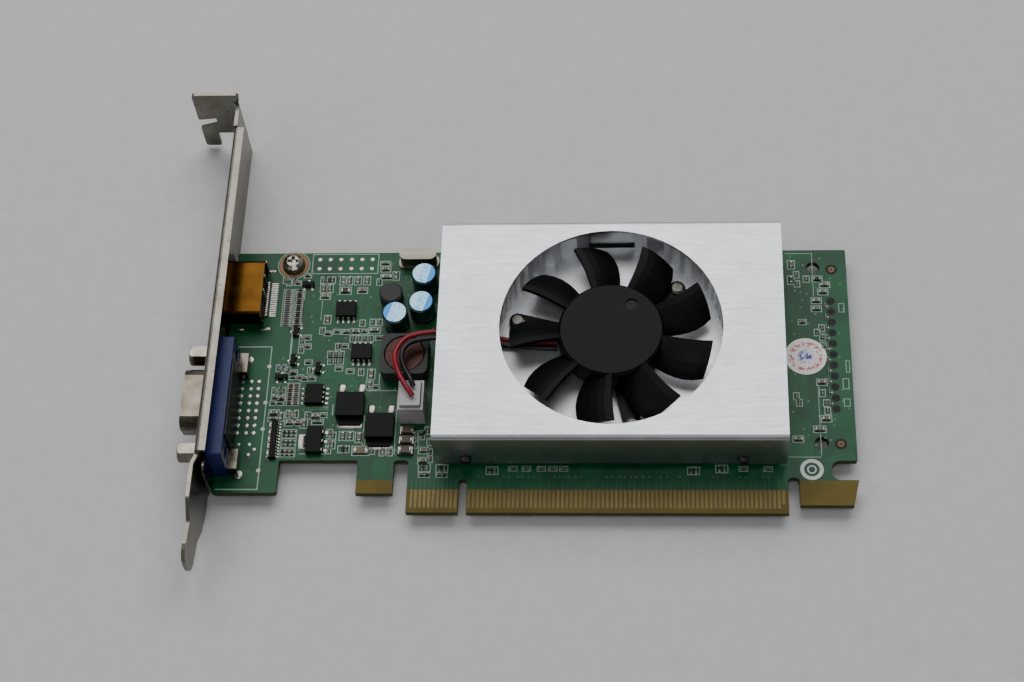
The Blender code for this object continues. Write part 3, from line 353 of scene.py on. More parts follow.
def cover_finish():
    """Rolled aluminium sheet: fine lines along X, soft cloudy reflections and a few rubbed marks."""
    made, tree, shader = new_material("brushed_aluminium")
    plain = place_node(tree)
    lines = noise(tree, place_node(tree, (0.06, 1, 1)), 0.35, 3.0)
    clouds = noise(tree, plain, 7.0, 3.0)
    patches = noise(tree, plain, 1.1, 3.0)
    rubs = add(
        tree, "ShaderNodeTexNoise", Vector=place_node(tree, (0.45, 1.7, 1)), Scale=420.0, Detail=5.0,
        Distortion=1.6,
    ).outputs["Fac"]
    colour = ramp(tree, clouds, (0.3, tone(172, 174, 177)), (0.7, tone(188, 190, 193)))
    colour = blend(tree, span(tree, lines, 0.0, 0.5), colour, tone(152, 154, 158))
    colour = blend(tree, span(tree, rubs, 0.0, 0.35, 0.66, 0.78), colour, tone(128, 128, 130))
    tree.links.new(colour, shader.inputs["Base Color"])
    gloss = math_node(tree, "MULTIPLY_ADD", patches, 0.5, product(tree, lines, 0.5))
    tree.links.new(span(tree, gloss, 0.26, 0.38), shader.inputs["Roughness"])
    shader.inputs["Metallic"].default_value = 1.0
    shader.inputs["Anisotropic"].default_value = 0.45
    height = math_node(tree, "MULTIPLY_ADD", lines, 1.0, product(tree, rubs, -0.5))
    emboss(tree, shader, 0.5, 5, height)
    return made


CAN_EDGE = 2.72
CAN_SHOULDER = 5.2
CAN_FOOT = 1.15


def can_finish(name, middle, angle):
    """The can of a polymer capacitor: a blue segment and small blue dabs on top, a painted sheen that lightens
    the top, and a black foot.
    """
    made, tree, shader = new_material(name)
    _, up, east, north, square = about(tree, *middle)
    c, s = direction(angle)
    side = math_node(tree, "ADD", product(tree, east, c), product(tree, north, s))
    inside = math_node(tree, "LESS_THAN", square, (CAN_EDGE * MM) ** 2)
    high = math_node(tree, "GREATER_THAN", up, at(0, 0, CAN_SHOULDER).z)
    top = product(tree, inside, high)
    printed = product(tree, top, span(tree, side, 0.0, 1.0, 1.15 * MM, 1.25 * MM))
    lines = noise(tree, place_node(tree, (1, 0.1, 1)), 0.5, 2.0)
    colour = ramp(tree, lines, (0.3, tone(92, 103, 111)), (0.7, tone(116, 127, 135)))
    # Painted sheen: the flat top of the can is blended towards pale blue, so it is lighter than the sides of
    # the same metal
    colour = blend(tree, product(tree, top, 0.3), colour, tone(160, 215, 240))
    dashes = noise(tree, place_node(tree, (0.5, 1.6, 1)), 0.45, 1.0)
    band = span(tree, math_node(tree, "ABSOLUTE", side), 1.0, 0.0, 0.7 * MM, 0.9 * MM)
    marks = product(tree, band, span(tree, dashes, 0.0, 0.8, 0.5, 0.56), top)
    colour = blend(tree, marks, colour, tone(52, 118, 168))
    colour = blend(tree, printed, colour, tone(40, 116, 172))
    foot = math_node(tree, "LESS_THAN", up, at(0, 0, CAN_FOOT).z)
    colour = blend(tree, foot, colour, tone(30, 28, 27))
    tree.links.new(colour, shader.inputs["Base Color"])
    covered = math_node(tree, "MAXIMUM", foot, product(tree, printed, 0.5))
    tree.links.new(math_node(tree, "SUBTRACT", 1.0, covered), shader.inputs["Metallic"])
    tree.links.new(span(tree, lines, 0.26, 0.36), shader.inputs["Roughness"])
    emboss(tree, shader, 0.4, 4, lines)
    return made


def label_finish(middle):
    """Paper seal: pale, with soft rings and abstract dabs of colour."""
    made, tree, shader = new_material("paper_label")
    place, _, _, _, square = about(tree, *middle)
    reach = math_node(tree, "SQRT", square)
    soft = noise(tree, place, 1.3, 2.0)
    dabs = noise(tree, place, 0.8, 1.0)
    colour = ramp(tree, noise(tree, place, 2.0), (0.3, tone(212, 208, 206)), (0.7, tone(228, 225, 223)))
    core = span(tree, reach, 1.0, 0.0, 1.2 * MM, 2.2 * MM)
    blue = product(tree, core, span(tree, soft, 0.0, 1.0, 0.44, 0.54))
    colour = blend(tree, blue, colour, tone(40, 52, 158))
    outside = span(tree, reach, 0.0, 1.0, 2.4 * MM, 2.9 * MM)
    ring = product(tree, outside, span(tree, reach, 1.0, 0.0, 3.7 * MM, 4.1 * MM))
    rose = product(tree, ring, span(tree, dabs, 0.0, 0.9, 0.48, 0.56))
    colour = blend(tree, rose, colour, tone(178, 62, 66))
    tree.links.new(colour, shader.inputs["Base Color"])
    tree.links.new(span(tree, soft, 0.5, 0.65), shader.inputs["Roughness"])
    emboss(tree, shader, 0.3, 6, soft)
    return made


MASK = board_finish()
BRACKET = finish(
    "bracket_steel", tone(132, 130, 121), tone(108, 104, 95), (0.26, 0.36), 1.0, 6.0, 0.5, 3.0,
    fleck=tone(104, 97, 86),
)
SCREW = finish("screw_steel", tone(150, 147, 138), tone(116, 111, 102), (0.24, 0.36), 1.0, 1.2, 0.2, 3.0)
TIN = finish("tin_plate", tone(120, 115, 104), tone(88, 82, 72), (0.18, 0.28), 1.0, 3.0, 0.4, 3.0)
BLUE = finish("connector_blue", tone(20, 32, 86), tone(15, 25, 72), (0.34, 0.44), 0.0, 4.0, 0.2, 4.0)
BLACK_PLASTIC = finish(
    "connector_black", tone(26, 26, 28), tone(18, 18, 20), (0.42, 0.55), 0.0, 3.0, 0.2, 4.0
)
NICKEL = finish("nickel_plate", tone(146, 142, 132), tone(112, 106, 96), (0.16, 0.26), 1.0, 2.0, 0.3, 3.0)
GOLD = finish("gold_plate", tone(82, 55, 20), tone(62, 41, 13), (0.18, 0.28), 1.0, 5.0, 1.2, 1.5)
COVER = cover_finish()
BLACK_SCREW = finish("screw_black", tone(92, 90, 86), tone(64, 62, 58), (0.24, 0.36), 1.0, 1.0, 0.15, 3.0)
FIN = finish(
    "fin_aluminium", tone(214, 216, 218), tone(200, 202, 205), (0.44, 0.54), 1.0, 7.0, 0.5, 1.2,
    stretch=(0.2, 1, 1), turned=0.2,
)
FAN = finish(
    "fan_black", tone(12, 13, 14), tone(8, 9, 10), (0.36, 0.48), 0.0, 5.0, 0.18, 5.0,
    fleck=tone(16, 17, 18), specular=0.1,
)
BRONZE = finish("bearing_bronze", tone(150, 110, 60), tone(120, 84, 44), (0.4, 0.5), 1.0)
DRIVER_BOARD = finish("driver_board", tone(30, 84, 56), tone(22, 66, 44), (0.4, 0.5))
COPPER = finish(
    "coil_winding", tone(196, 96, 50), tone(150, 62, 30), (0.25, 0.4), 1.0, 0.6, 0.12, 12.0,
    stretch=(1, 1, 5),
)
MAGNET = finish("rubber_magnet", tone(58, 54, 52), tone(44, 41, 40), (0.6, 0.7))
SHAFT = finish("shaft_steel", tone(200, 200, 200), tone(170, 170, 170), (0.18, 0.26), 1.0)
SUBSTRATE = finish("package_substrate", tone(34, 92, 60), tone(26, 74, 50), (0.4, 0.5))
SILICON = finish("silicon", tone(88, 90, 96), tone(70, 72, 78), (0.14, 0.2), 0.5)
PAD = finish("thermal_pad", tone(176, 172, 160), tone(156, 152, 142), (0.7, 0.85))
RESIN = finish(
    "chip_resin", tone(15, 16, 17), tone(11, 11, 12), (0.46, 0.62), 0.0, 2.5, 0.14, 7.0,
    fleck=tone(22, 22, 23), specular=0.12,
)
CERAMIC = finish("ceramic", tone(84, 72, 62), tone(66, 56, 48), (0.4, 0.55), 0.0, 1.5, 0.12, 5.0)
CAN_STEEL = finish(
    "can_steel", tone(122, 119, 107), tone(100, 97, 87), (0.26, 0.36), 1.0, 3.0, 0.3, 4.0,
    stretch=(0.3, 1, 1),
)
FERRITE = finish("ferrite", tone(54, 57, 57), tone(41, 43, 43), (0.5, 0.68), 0.0, 2.0, 0.2, 14.0)
WOUND = finish(
    "wound_core", tone(72, 31, 24), tone(20, 16, 16), (0.26, 0.45), 0.4, 0.9, 0.25, 16.0
)
WHITE = finish("connector_white", tone(176, 171, 172), tone(154, 150, 150), (0.35, 0.5), 0.0, 3.0, 0.3, 5.0)
RED = finish("lead_red", tone(138, 16, 36), tone(108, 10, 26), (0.34, 0.46), 0.0, 2.5, 0.2, 4.0, coat=0.2)
BLACK_WIRE = finish(
    "lead_black", tone(20, 20, 22), tone(13, 13, 14), (0.34, 0.46), 0.0, 2.5, 0.2, 4.0, coat=0.2
)

SLOT_FINISH = {
    "solder_mask": MASK, "bracket_steel": BRACKET, "screw_steel": SCREW, "tin_plate": TIN,
    "connector_blue": BLUE, "connector_black": BLACK_PLASTIC, "nickel_plate": NICKEL,
    "gold_plate": GOLD, "brushed_aluminium": COVER, "screw_black": BLACK_SCREW,
    "fin_aluminium": FIN, "fan_black": FAN, "bearing_bronze": BRONZE,
    "driver_board": DRIVER_BOARD, "coil_winding": COPPER, "rubber_magnet": MAGNET,
    "shaft_steel": SHAFT, "package_substrate": SUBSTRATE, "silicon": SILICON,
    "thermal_pad": PAD, "chip_resin": RESIN, "ceramic": CERAMIC, "can_steel": CAN_STEEL,
    "ferrite": FERRITE, "connector_white": WHITE, "lead_red": RED, "lead_black": BLACK_WIRE,
}
NODE_SLOT = {
    "circuit_board": "solder_mask", "bracket": "bracket_steel", "bracket_screw": "screw_steel",
    "vga_shell": "tin_plate", "vga_board_lock_upper": "tin_plate",
    "vga_board_lock_lower": "tin_plate", "vga_insulator": "connector_blue",
    "vga_pin_block": "connector_black", "digital_port_insulator": "connector_black",
    "jack_screw_upper": "nickel_plate", "jack_screw_lower": "nickel_plate",
    "digital_port_shell": "gold_plate", "fan_cover": "brushed_aluminium",
    "heatsink": "fin_aluminium", "fan_base": "fan_black", "fan_rotor": "fan_black",
    "fan_bearing": "bearing_bronze", "fan_driver_board": "driver_board",
    "fan_coil": "coil_winding", "fan_magnet": "rubber_magnet", "fan_shaft": "shaft_steel",
    "graphics_package": "package_substrate", "graphics_die": "silicon",
    "thermal_pad": "thermal_pad", "fan_driver_chip": "chip_resin",
    "power_driver_chip": "chip_resin", "port_driver_chip": "chip_resin",
    "regulator": "chip_resin", "power_transistor_1": "chip_resin",
    "power_transistor_2": "chip_resin", "crystal_can": "can_steel",
    "round_inductor": "ferrite", "inductor_frame": "ferrite", "inductor_core": "ferrite",
    "fan_header": "connector_white", "fan_plug": "connector_white",
}
for count in range(1, 5):
    NODE_SLOT[f"heatsink_screw_{count}"] = "screw_steel"
    NODE_SLOT[f"memory_chip_{count}"] = "chip_resin"
for count in range(1, 4):
    NODE_SLOT[f"fan_screw_{count}"] = "screw_black"
    NODE_SLOT[f"ceramic_capacitor_{count}"] = "ceramic"
for corner in ("front_left", "front_right", "back_left", "back_right"):
    NODE_SLOT[f"cover_screw_{corner}"] = "screw_black"


def dress(obj, material):
    obj.data.materials.clear()
    obj.data.materials.append(material)


for name, slot in NODE_SLOT.items():
    dress(nodes[name], SLOT_FINISH[slot])
dress(nodes["inductor_core"], WOUND)
dress(red_lead, RED)
dress(black_lead, BLACK_WIRE)
for count, angle in ((1, -12), (2, -16), (3, 164)):
    can = f"polymer_capacitor_{count}"
    low, high = card_box(can)
    centre = ((low.x + high.x) / 2, (low.y + high.y) / 2)
    dress(nodes[can], can_finish(f"can_aluminium_{count}", centre, angle))

SILK = finish("silkscreen", tone(152, 176, 162), tone(126, 152, 138), (0.5, 0.65), 0.0, 1.0, 0.15, 3.0)
SOLDER = finish("solder", tone(164, 162, 156), tone(120, 118, 112), (0.22, 0.38), 1.0, 0.8, 0.2, 6.0)
PIN_GOLD = finish(
    "contact_gold", tone(104, 92, 58), tone(82, 73, 46), (0.4, 0.52), 0.7, 1.6, 0.12, 4.0,
    stretch=(1, 0.2, 1),
)
RING_PAD = finish("ring_pad", tone(112, 82, 54), tone(84, 58, 38), (0.35, 0.5), 0.7, 0.8, 0.2, 6.0)
TRACE = finish("mask_over_trace", tone(14, 92, 52), tone(8, 74, 42), (0.32, 0.42), 0.0, 2.0, 0.3, 5.0)
VIA = finish("via_ring", tone(92, 120, 96), tone(62, 98, 74), (0.36, 0.48), 0.3, 2.0, 0.2, 3.0)
TAN = finish("passive_tan", tone(112, 98, 84), tone(88, 76, 64), (0.42, 0.56), 0.0, 0.8, 0.1, 4.0)
DARK = finish("passive_dark", tone(40, 38, 38), tone(28, 27, 27), (0.4, 0.55), 0.0, 0.8, 0.1, 4.0)
GREY = finish("passive_grey", tone(104, 104, 100), tone(78, 80, 78), (0.4, 0.55), 0.0, 0.8, 0.1, 4.0)


# Meshes of many small shapes
class Heap:
    """Small closed shapes of one finish, gathered into one mesh, in millimetres of the card's frame."""

    def __init__(self):
        self.points = []
        self.faces = []

    def skin(self, rings):
        """A closed skin through rings of points that run anticlockwise seen from above, lowest ring first."""
        first = len(self.points)
        count = len(rings[0])
        for ring in rings:
            self.points.extend(ring)
        self.faces.append([first + index for index in reversed(range(count))])
        for level in range(len(rings) - 1):
            low = first + level * count
            for index in range(count):
                other = (index + 1) % count
                self.faces.append(
                    [low + index, low + other, low + count + other, low + count + index]
                )
        top = first + (len(rings) - 1) * count
        self.faces.append([top + index for index in range(count)])

    def slab(self, x, y, width, depth, levels, turn=0.0):
        """A four-sided stack. Each level is a height and how far it stands out past the size."""
        c, s = direction(turn)
        rings = []
        for z, grow in levels:
            half_x = width / 2 + grow
            half_y = depth / 2 + grow
            rings.append(
                [
                    (x + c * a * half_x - s * b * half_y, y + s * a * half_x + c * b * half_y, z)
                    for a, b in ((-1, -1), (1, -1), (1, 1), (-1, 1))
                ]
            )
        self.skin(rings)

    def block(self, x, y, width, depth, low, high, chamfer=0.06, turn=0.0):
        self.slab(
            x, y, width, depth, ((low, 0), (high - chamfer, 0), (high, -chamfer)), turn
        )

    def round(self, x, y, levels, sides=16):
        """A turned stack. Each level is a height and a radius."""
        self.skin(
            [
                [
                    (x + r * math.cos(math.tau * i / sides), y + r * math.sin(math.tau * i / sides), z)
                    for i in range(sides)
                ]
                for z, r in levels
            ]
        )

    def annulus(self, x, y, inner, outer, low, high, sides=32):
        first = len(self.points)
        for z, r in ((low, outer), (high, outer), (high, inner), (low, inner)):
            self.points.extend(
                (x + r * math.cos(math.tau * i / sides), y + r * math.sin(math.tau * i / sides), z)
                for i in range(sides)
            )
        for level in range(4):
            a = first + level * sides
            b = first + (level + 1) % 4 * sides
            for i in range(sides):
                j = (i + 1) % sides
                self.faces.append([a + i, a + j, b + j, b + i])

    def line(self, start, end, width=0.16, low=SKIN, high=INK_TOP):
        dx = end[0] - start[0]
        dy = end[1] - start[1]
        self.slab(
            (start[0] + end[0]) / 2, (start[1] + end[1]) / 2, math.hypot(dx, dy), width,
            ((low, 0), (high, 0)), math.degrees(math.atan2(dy, dx)),
        )

    def frame(self, x0, y0, x1, y1, width=0.16, low=SKIN, high=INK_TOP):
        self.line((x0 - width / 2, y0), (x1 + width / 2, y0), width, low, high)
        self.line((x0 - width / 2, y1), (x1 + width / 2, y1), width, low, high)
        self.line((x0, y0 + width / 2), (x0, y1 - width / 2), width, low, high)
        self.line((x1, y0 + width / 2), (x1, y1 - width / 2), width, low, high)

    def strip(self, x, y, turn, profile, width, thick):
        """A bent strip that leaves (x, y) along turn. Its profile is distances and heights of its top."""
        c, s = direction(turn)
        first = len(self.points)
        for place, (far, high) in enumerate(profile):
            before = profile[max(place - 1, 0)]
            after = profile[min(place + 1, len(profile) - 1)]
            slope = math.atan2(after[1] - before[1], after[0] - before[0])
            under = (far + thick * math.sin(slope), high - thick * math.cos(slope))
            for out, side, up in (
                (far, -1, high), (far, 1, high), (under[0], 1, under[1]), (under[0], -1, under[1])
            ):
                lateral = side * width / 2
                self.points.append((x + c * out - s * lateral, y + s * out + c * lateral, up))
        for place in range(len(profile) - 1):
            a = first + place * 4
            for i in range(4):
                j = (i + 1) % 4
                self.faces.append([a + i, a + 4 + i, a + 4 + j, a + j])
        self.faces.append([first + i for i in range(4)])
        end = first + (len(profile) - 1) * 4
        self.faces.append([end + 3 - i for i in range(4)])

    def make(self, name, material, slot=None, smooth=None, body="card"):
        mesh = bpy.data.meshes.new(name)
        mesh.from_pydata([at(*point) for point in self.points], [], self.faces)
        mesh.materials.append(material)
        if smooth:
            mesh.shade_smooth()
            mesh.set_sharp_from_angle(angle=math.radians(smooth))
        mesh.validate()
        obj = bpy.data.objects.new(name, mesh)
        scene.collection.objects.link(obj)
        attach(obj, body)
        return obj


silk = Heap()
solder = Heap()
metal = Heap()
vias = Heap()
traces = Heap()
resin = Heap()
bodies = {"t": Heap(), "d": Heap(), "g": Heap()}


def passive(x, y, length, width, turn=0.0, kind="t", height=0.5):
    """A chip resistor or capacitor on its two pads: a body, plated ends and solder fillets."""
    c, s = direction(turn)
    cap = length * 0.22
    bodies[kind].block(x, y, length - 2 * cap, width, 0.04, height, 0.04, turn)
    for side in (-1, 1):
        shift = side * (length - cap) / 2
        solder.block(
            x + c * shift, y + s * shift, cap, width + 0.04, 0.03, height + 0.03, 0.07, turn
        )
        shift = side * (length / 2 + 0.06)
        solder.slab(
            x + c * shift, y + s * shift, 0.22, width * 0.9,
            ((SKIN, 0.12), (0.06, 0.1), (height * 0.45, -0.04)), turn,
        )


def outline(x, y, width, depth, line=0.2):
    silk.frame(x - width / 2, y - depth / 2, x + width / 2, y + depth / 2, line)


GULL = ((-0.25, 0.78), (0.12, 0.78), (0.24, 0.7), (0.42, 0.26), (0.52, 0.17), (1.02, 0.15))


def gull_leads(node, side_axis, count, pitch, width=0.42):
    """Two rows of bent leads for a chip, on its Y sides or its X sides."""
    low, high = card_box(node)
    x = (low.x + high.x) / 2
    y = (low.y + high.y) / 2
    for number in range(count):
        shift = (number - (count - 1) / 2) * pitch
        for side in (-1, 1):
            if side_axis == "y":
                place = (x + shift, high.y if side > 0 else low.y, 90 * side)
            else:
                place = (high.x if side > 0 else low.x, y + shift, 0 if side > 0 else 180)
            metal.strip(*place, GULL, width, 0.16)
            c, s = direction(place[2])
            solder.slab(
                place[0] + 0.85 * c, place[1] + 0.85 * s, 0.75, width + 0.12,
                ((SKIN, 0.1), (0.05, 0.08), (0.12, -0.08)), place[2],
            )


def small_transistor(x, y, turn=0.0):
    """A three-lead package 2.9 mm long, with one lead on one side and two on the other."""
    resin.slab(x, y, 2.9, 1.3, ((0.08, -0.06), (0.55, 0.0), (0.98, -0.1)), turn)
    c, s = direction(turn)
    short = ((-0.15, 0.6), (0.1, 0.6), (0.18, 0.5), (0.26, 0.2), (0.34, 0.12), (0.62, 0.11))
    for along, side in ((0.0, 1), (-0.95, -1), (0.95, -1)):
        edge_x = x + c * along - s * side * 0.65
        edge_y = y + s * along + c * side * 0.65
        heading = turn + 90 * side
        metal.strip(edge_x, edge_y, heading, short, 0.42, 0.12)
        cd, sd = direction(heading)
        solder.slab(
            edge_x + 0.5 * cd, edge_y + 0.5 * sd, 0.6, 0.56,
            ((SKIN, 0.1), (0.04, 0.08), (0.1, -0.1)), heading,
        )


def joint(x, y, radius=0.55, high=0.22, back=True):
    """The solder of a through pin: a low cushion on top and a taller cone under the board."""
    solder.round(
        x, y,
        (
            (SKIN, radius), (high * 0.4, radius * 0.94), (high * 0.7, radius * 0.82),
            (high * 0.8, radius * 0.6),
        ),
    )
    if back:
        solder.round(
            x, y,
            (
                (BACK - 0.95, radius * 0.3), (BACK - 0.6, radius * 0.42),
                (BACK - 0.25, radius * 0.8), (BACK - SKIN, radius * 1.15),
            ),
        )


def via(x, y, radius=0.3, low=SKIN):
    vias.annulus(x, y, radius * 0.45, radius, low, low + 0.018, 12)


# Contacts of the edge connector, on both faces
contacts = Heap()
for number in range(11):
    for low, high in ((SKIN, 0.03), (BACK - 0.03, BACK - SKIN)):
        contacts.slab(-1.5 - number, 3.4, 0.62, 4.5, ((low, 0), (high, 0)))
for number in range(71):
    for low, high in ((SKIN, 0.03), (BACK - 0.03, BACK - SKIN)):
        short = 1.0 if (number == 70 and low > 0) or (number in (5, 19, 37) and low < 0) else 0.0
        contacts.slab(1.5 + number, 3.4 + short / 2, 0.62, 4.5 - short, ((low, 0), (high, 0)))
contacts.make("edge_contacts", PIN_GOLD)

# Chips
gull_leads("fan_driver_chip", "y", 4, 1.27)
gull_leads("power_driver_chip", "y", 4, 1.27)
gull_leads("port_driver_chip", "x", 4, 1.27)
low, high = card_box("regulator")
for shift in (-2.3, 0.0, 2.3):
    metal.strip(high.x, (low.y + high.y) / 2 + shift, 0, GULL, 0.7, 0.2)
    solder.slab(
        high.x + 0.95, (low.y + high.y) / 2 + shift, 0.9, 0.9,
        ((SKIN, 0.12), (0.05, 0.1), (0.16, -0.15)),
    )
metal.strip(
    low.x, (low.y + high.y) / 2, 180,
    ((-0.2, 0.82), (0.1, 0.82), (0.28, 0.72), (0.5, 0.3), (0.62, 0.2), (1.25, 0.18)), 3.1, 0.22,
)
solder.slab(low.x - 1.15, (low.y + high.y) / 2, 1.5, 3.5, ((SKIN, 0.12), (0.06, 0.1), (0.14, -0.12)))
for number in (1, 2):
    low, high = card_box(f"power_transistor_{number}")
    x = (low.x + high.x) / 2
    for shift in (-2.28, 2.28):
        metal.strip(
            x + shift, high.y, 90,
            ((-0.3, 1.15), (0.25, 1.15), (0.5, 1.0), (0.95, 0.36), (1.2, 0.26), (2.6, 0.24)), 0.76, 0.24,
        )
        solder.slab(
            x + shift, high.y + 2.2, 1.5, 1.9, ((SKIN, 0.12), (0.05, 0.1), (0.18, -0.3))
        )
    metal.strip(x, high.y, 90, ((-0.3, 1.15), (0.25, 1.15), (0.6, 1.12)), 0.9, 0.24)
    solder.slab(x, low.y - 0.25, 5.7, 1.1, ((SKIN, 0.12), (0.06, 0.1), (0.12, 0.02)))

for node in ("memory_chip_1", "memory_chip_2", "memory_chip_3", "memory_chip_4", "graphics_package"):
    low, high = card_box(node)
    outline((low.x + high.x) / 2, (low.y + high.y) / 2, high.x - low.x + 0.8, high.y - low.y + 0.8, 0.2)

for place in (
    (-39.3, 59.8, 0), (-41.25, 46.9, 90), (-41.2, 39.0, 90), (-35.15, 36.8, 90), (-43.6, 34.5, 0),
):
    small_transistor(*place)

# Filter array beside the analogue connector
LOW_LEAD = ((-0.15, 0.6), (0.1, 0.6), (0.22, 0.2), (0.32, 0.12), (0.62, 0.11))
resin.slab(-43.9, 18.0, 1.5, 9.6, ((0.1, -0.06), (0.7, 0.0), (1.15, -0.12)))
for number in range(12):
    y = 13.8 + number * 0.76
    metal.strip(-43.15, y, 0, LOW_LEAD, 0.34, 0.12)
    metal.strip(-44.65, y, 180, LOW_LEAD, 0.34, 0.12)
for y in (22.0, 20.2, 18.4, 16.6, 14.8):
    solder.slab(-45.1, y, 0.5, 1.3, ((SKIN, 0.06), (0.08, 0.0), (0.14, -0.1)))

# Fine-pitch terminals and shell tabs of the digital port
for number in range(19):
    metal.strip(
        -49.2, 51.2 + number * 0.5, 0,
        ((0.1, 0.7), (0.5, 0.7), (0.75, 0.6), (1.05, 0.22), (1.25, 0.15), (2.6, 0.14)), 0.24, 0.12,
    )
    solder.slab(-47.1, 51.2 + number * 0.5, 1.3, 0.3, ((SKIN, 0.04), (0.06, 0.02), (0.13, -0.05)))
for x, width in ((-54.4, 1.5), (-48.6, 2.4)):
    solder.slab(x, 47.7, width, 0.7, ((SKIN, 0.15), (0.08, 0.1), (0.3, -0.15)))
    solder.slab(x, 63.75, width, 0.6, ((SKIN, 0.12), (0.08, 0.08), (0.26, -0.15)))
for y in (63.0, 59.2, 55.3):
    metal.slab(-48.95, y, 0.22, 0.7, ((0.3, 0), (5.2, 0), (5.6, -0.06)))

# Ring pads round the bracket's screw and the tooling holes, and the open pads of the right strip
BRACKET_SCREW = (-43.3, 65.5)
TOOLING_HOLES = ((80.4, 63.9), (80.5, 17.4))
TARGETS = ((84.75, 63.4), (84.75, 17.2))
OPEN_PAD_PITCH = 2.86
ring = Heap()
ring.annulus(*BRACKET_SCREW, 2.75, 3.5, SKIN, 0.05, 48)
ring.annulus(*BRACKET_SCREW, 1.9, 3.5, BACK - 0.05, BACK - SKIN, 48)
for place in TOOLING_HOLES:
    ring.annulus(*place, 1.62, 1.95, BACK - 0.04, BACK - SKIN, 32)
for place in TARGETS:
    ring.annulus(*place, 0.45, 0.75, SKIN, 0.04, 24)
ring.make("ring_pads", RING_PAD)
silk.annulus(*BRACKET_SCREW, 3.72, 3.9, SKIN, INK_TOP, 48)
holes = Heap()
for place in TARGETS:
    holes.annulus(*place, 0.75, 1.35, SKIN, 0.03, 24)
for number in range(11):
    holes.round(84.2, 26.1 + number * OPEN_PAD_PITCH, ((SKIN, 0.95), (0.03, 0.95)), 20)
holes.make("open_pads", finish("open_pad", tone(12, 11, 11), tone(7, 7, 7), (0.5, 0.62)))

# Through joints: header, unused connector footprint, analogue pins, locks, cans, inductors and crystal
for x in (-37.1, -34.6, -32.0, -29.4, -26.9, -24.4):
    joint(x, 67.0, 0.6, 0.14)
    joint(x, 64.4, 0.6, 0.14)
silk.frame(-38.8, 63.05, -22.9, 68.5, 0.2)
for x in (-52.7, -50.6, -48.8):
    for row in range(8):
        joint(x, 33.5 - row * 1.93, 0.56, 0.13)
for x, y in ((-52.0, 17.0), (-49.5, 17.0), (-48.25, 15.75), (-49.5, 14.4)):
    joint(x, y, 0.5, 0.14)
joint(-51.4, 9.4, 1.15, 0.16)
joint(-51.5, 39.3, 1.0, 0.16)
PIN_CONE = ((BACK - 0.9, 0.25), (BACK - 0.5, 0.35), (BACK - 0.2, 0.75), (BACK - SKIN, 1.0))
for node in ("polymer_capacitor_1", "polymer_capacitor_2", "polymer_capacitor_3", "round_inductor"):
    low, high = card_box(node)
    for shift in (-1.25, 1.25):
        solder.round((low.x + high.x) / 2 + shift, (low.y + high.y) / 2, PIN_CONE)
for x, y in ((-15.4, 66.0), (-10.6, 66.0), (-12.1, 24.8), (-12.1, 27.3), (-18.9, 38.6), (-10.3, 38.6)):
    solder.round(x, y, PIN_CONE)
for count in range(1, 4):
    low, high = card_box(f"ceramic_capacitor_{count}")
    y = (low.y + high.y) / 2
    for side in (-1, 1):
        x = (low.x + high.x) / 2 + side * (high.x - low.x) / 2
        solder.slab(x, y, 0.5, high.y - low.y, ((SKIN, 0.25), (0.1, 0.2), (0.75, 0.03)))
        solder.block(x - side * 0.2, y, 0.5, high.y - low.y + 0.06, 0.1, high.z + 0.03, 0.1)

# Printed outlines
silk.line((-55.5, 42.8), (-46.5, 42.8), 0.28)
silk.line((-46.6, 42.66), (-46.6, 5.74), 0.26)
silk.line((-56.2, 5.6), (-46.47, 5.6), 0.28)
silk.line((-42.05, 48.2), (-42.05, 38.0), 0.4)
silk.line((-35.6, 55.6), (-35.6, 50.0), 0.14)
silk.line((-40.0, 55.6), (-40.0, 49.4), 0.14)
silk.line((-37.0, 26.7), (-32.0, 26.7), 0.16)
silk.line((-37.0, 26.2), (-32.0, 26.2), 0.12)
silk.line((-30.9, 27.5), (-30.9, 24.6), 0.3)
silk.line((-31.9, 14.6), (-37.9, 14.6), 0.18)
silk.line((-23.1, 31.0), (-16.2, 31.0), 0.2)
silk.line((-20.6, 35.5), (-20.6, 31.0), 0.24)
silk.line((-16.0, 31.0), (-16.0, 14.4), 0.2)
silk.line((-23.4, 24.6), (-23.4, 16.6), 0.2)
silk.line((-22.9, 24.6), (-22.9, 16.6), 0.14)
for corners in (
    (86.0, 51.7, 87.2, 54.0), (86.9, 35.6, 87.7, 38.7), (86.0, 31.3, 87.3, 33.9), (86.0, 26.8, 87.3, 28.7),
):
    silk.frame(*corners, 0.18)
silk.line((80.3, 68.1), (80.3, 56.0), 0.16)
silk.line((80.3, 34.2), (80.3, 14.3), 0.16)
silk.line((74.0, 67.9), (80.2, 67.9), 0.16)
silk.line((73.0, 13.9), (80.2, 13.9), 0.16)

# Rows of chip resistors with their printed ladders
LOW_CHIP = 0.36
LADDER_PITCH = 0.6
for row in range(17):
    y = 48.75 + row * LADDER_PITCH
    passive(-43.9, y, 1.5, 0.34, 0, "g", LOW_CHIP)
    passive(-41.2, y, 1.5, 0.34, 0, "d" if row % 3 else "g", LOW_CHIP)
for x0, x1 in ((-45.1, -42.75), (-42.4, -40.0)):
    for row in range(18):
        y = 48.45 + row * LADDER_PITCH
        silk.line((x0, y), (x1, y), 0.14)
    silk.line((x0, 48.3), (x0, 58.8), 0.16)
    silk.line((x1, 48.3), (x1, 58.8), 0.16)
for row in range(10):
    y = 27.6 + row * 0.56
    passive(-41.2, y, 1.1, 0.34, 0, "t" if row % 2 else "d", LOW_CHIP)
    passive(-39.8, y, 1.1, 0.34, 0, "g", LOW_CHIP)
outline(-40.5, 30.1, 3.0, 5.9, 0.14)
for x in (-41.6, -40.55, -39.5):
    for y in (14.4, 15.4, 16.9, 17.9, 19.3, 20.3):
        passive(x, y, 0.75, 0.45, 0, chance.choice("tgd"), LOW_CHIP)
for y in (14.9, 17.4, 19.8):
    outline(-40.5, y, 3.5, 2.15, 0.16)

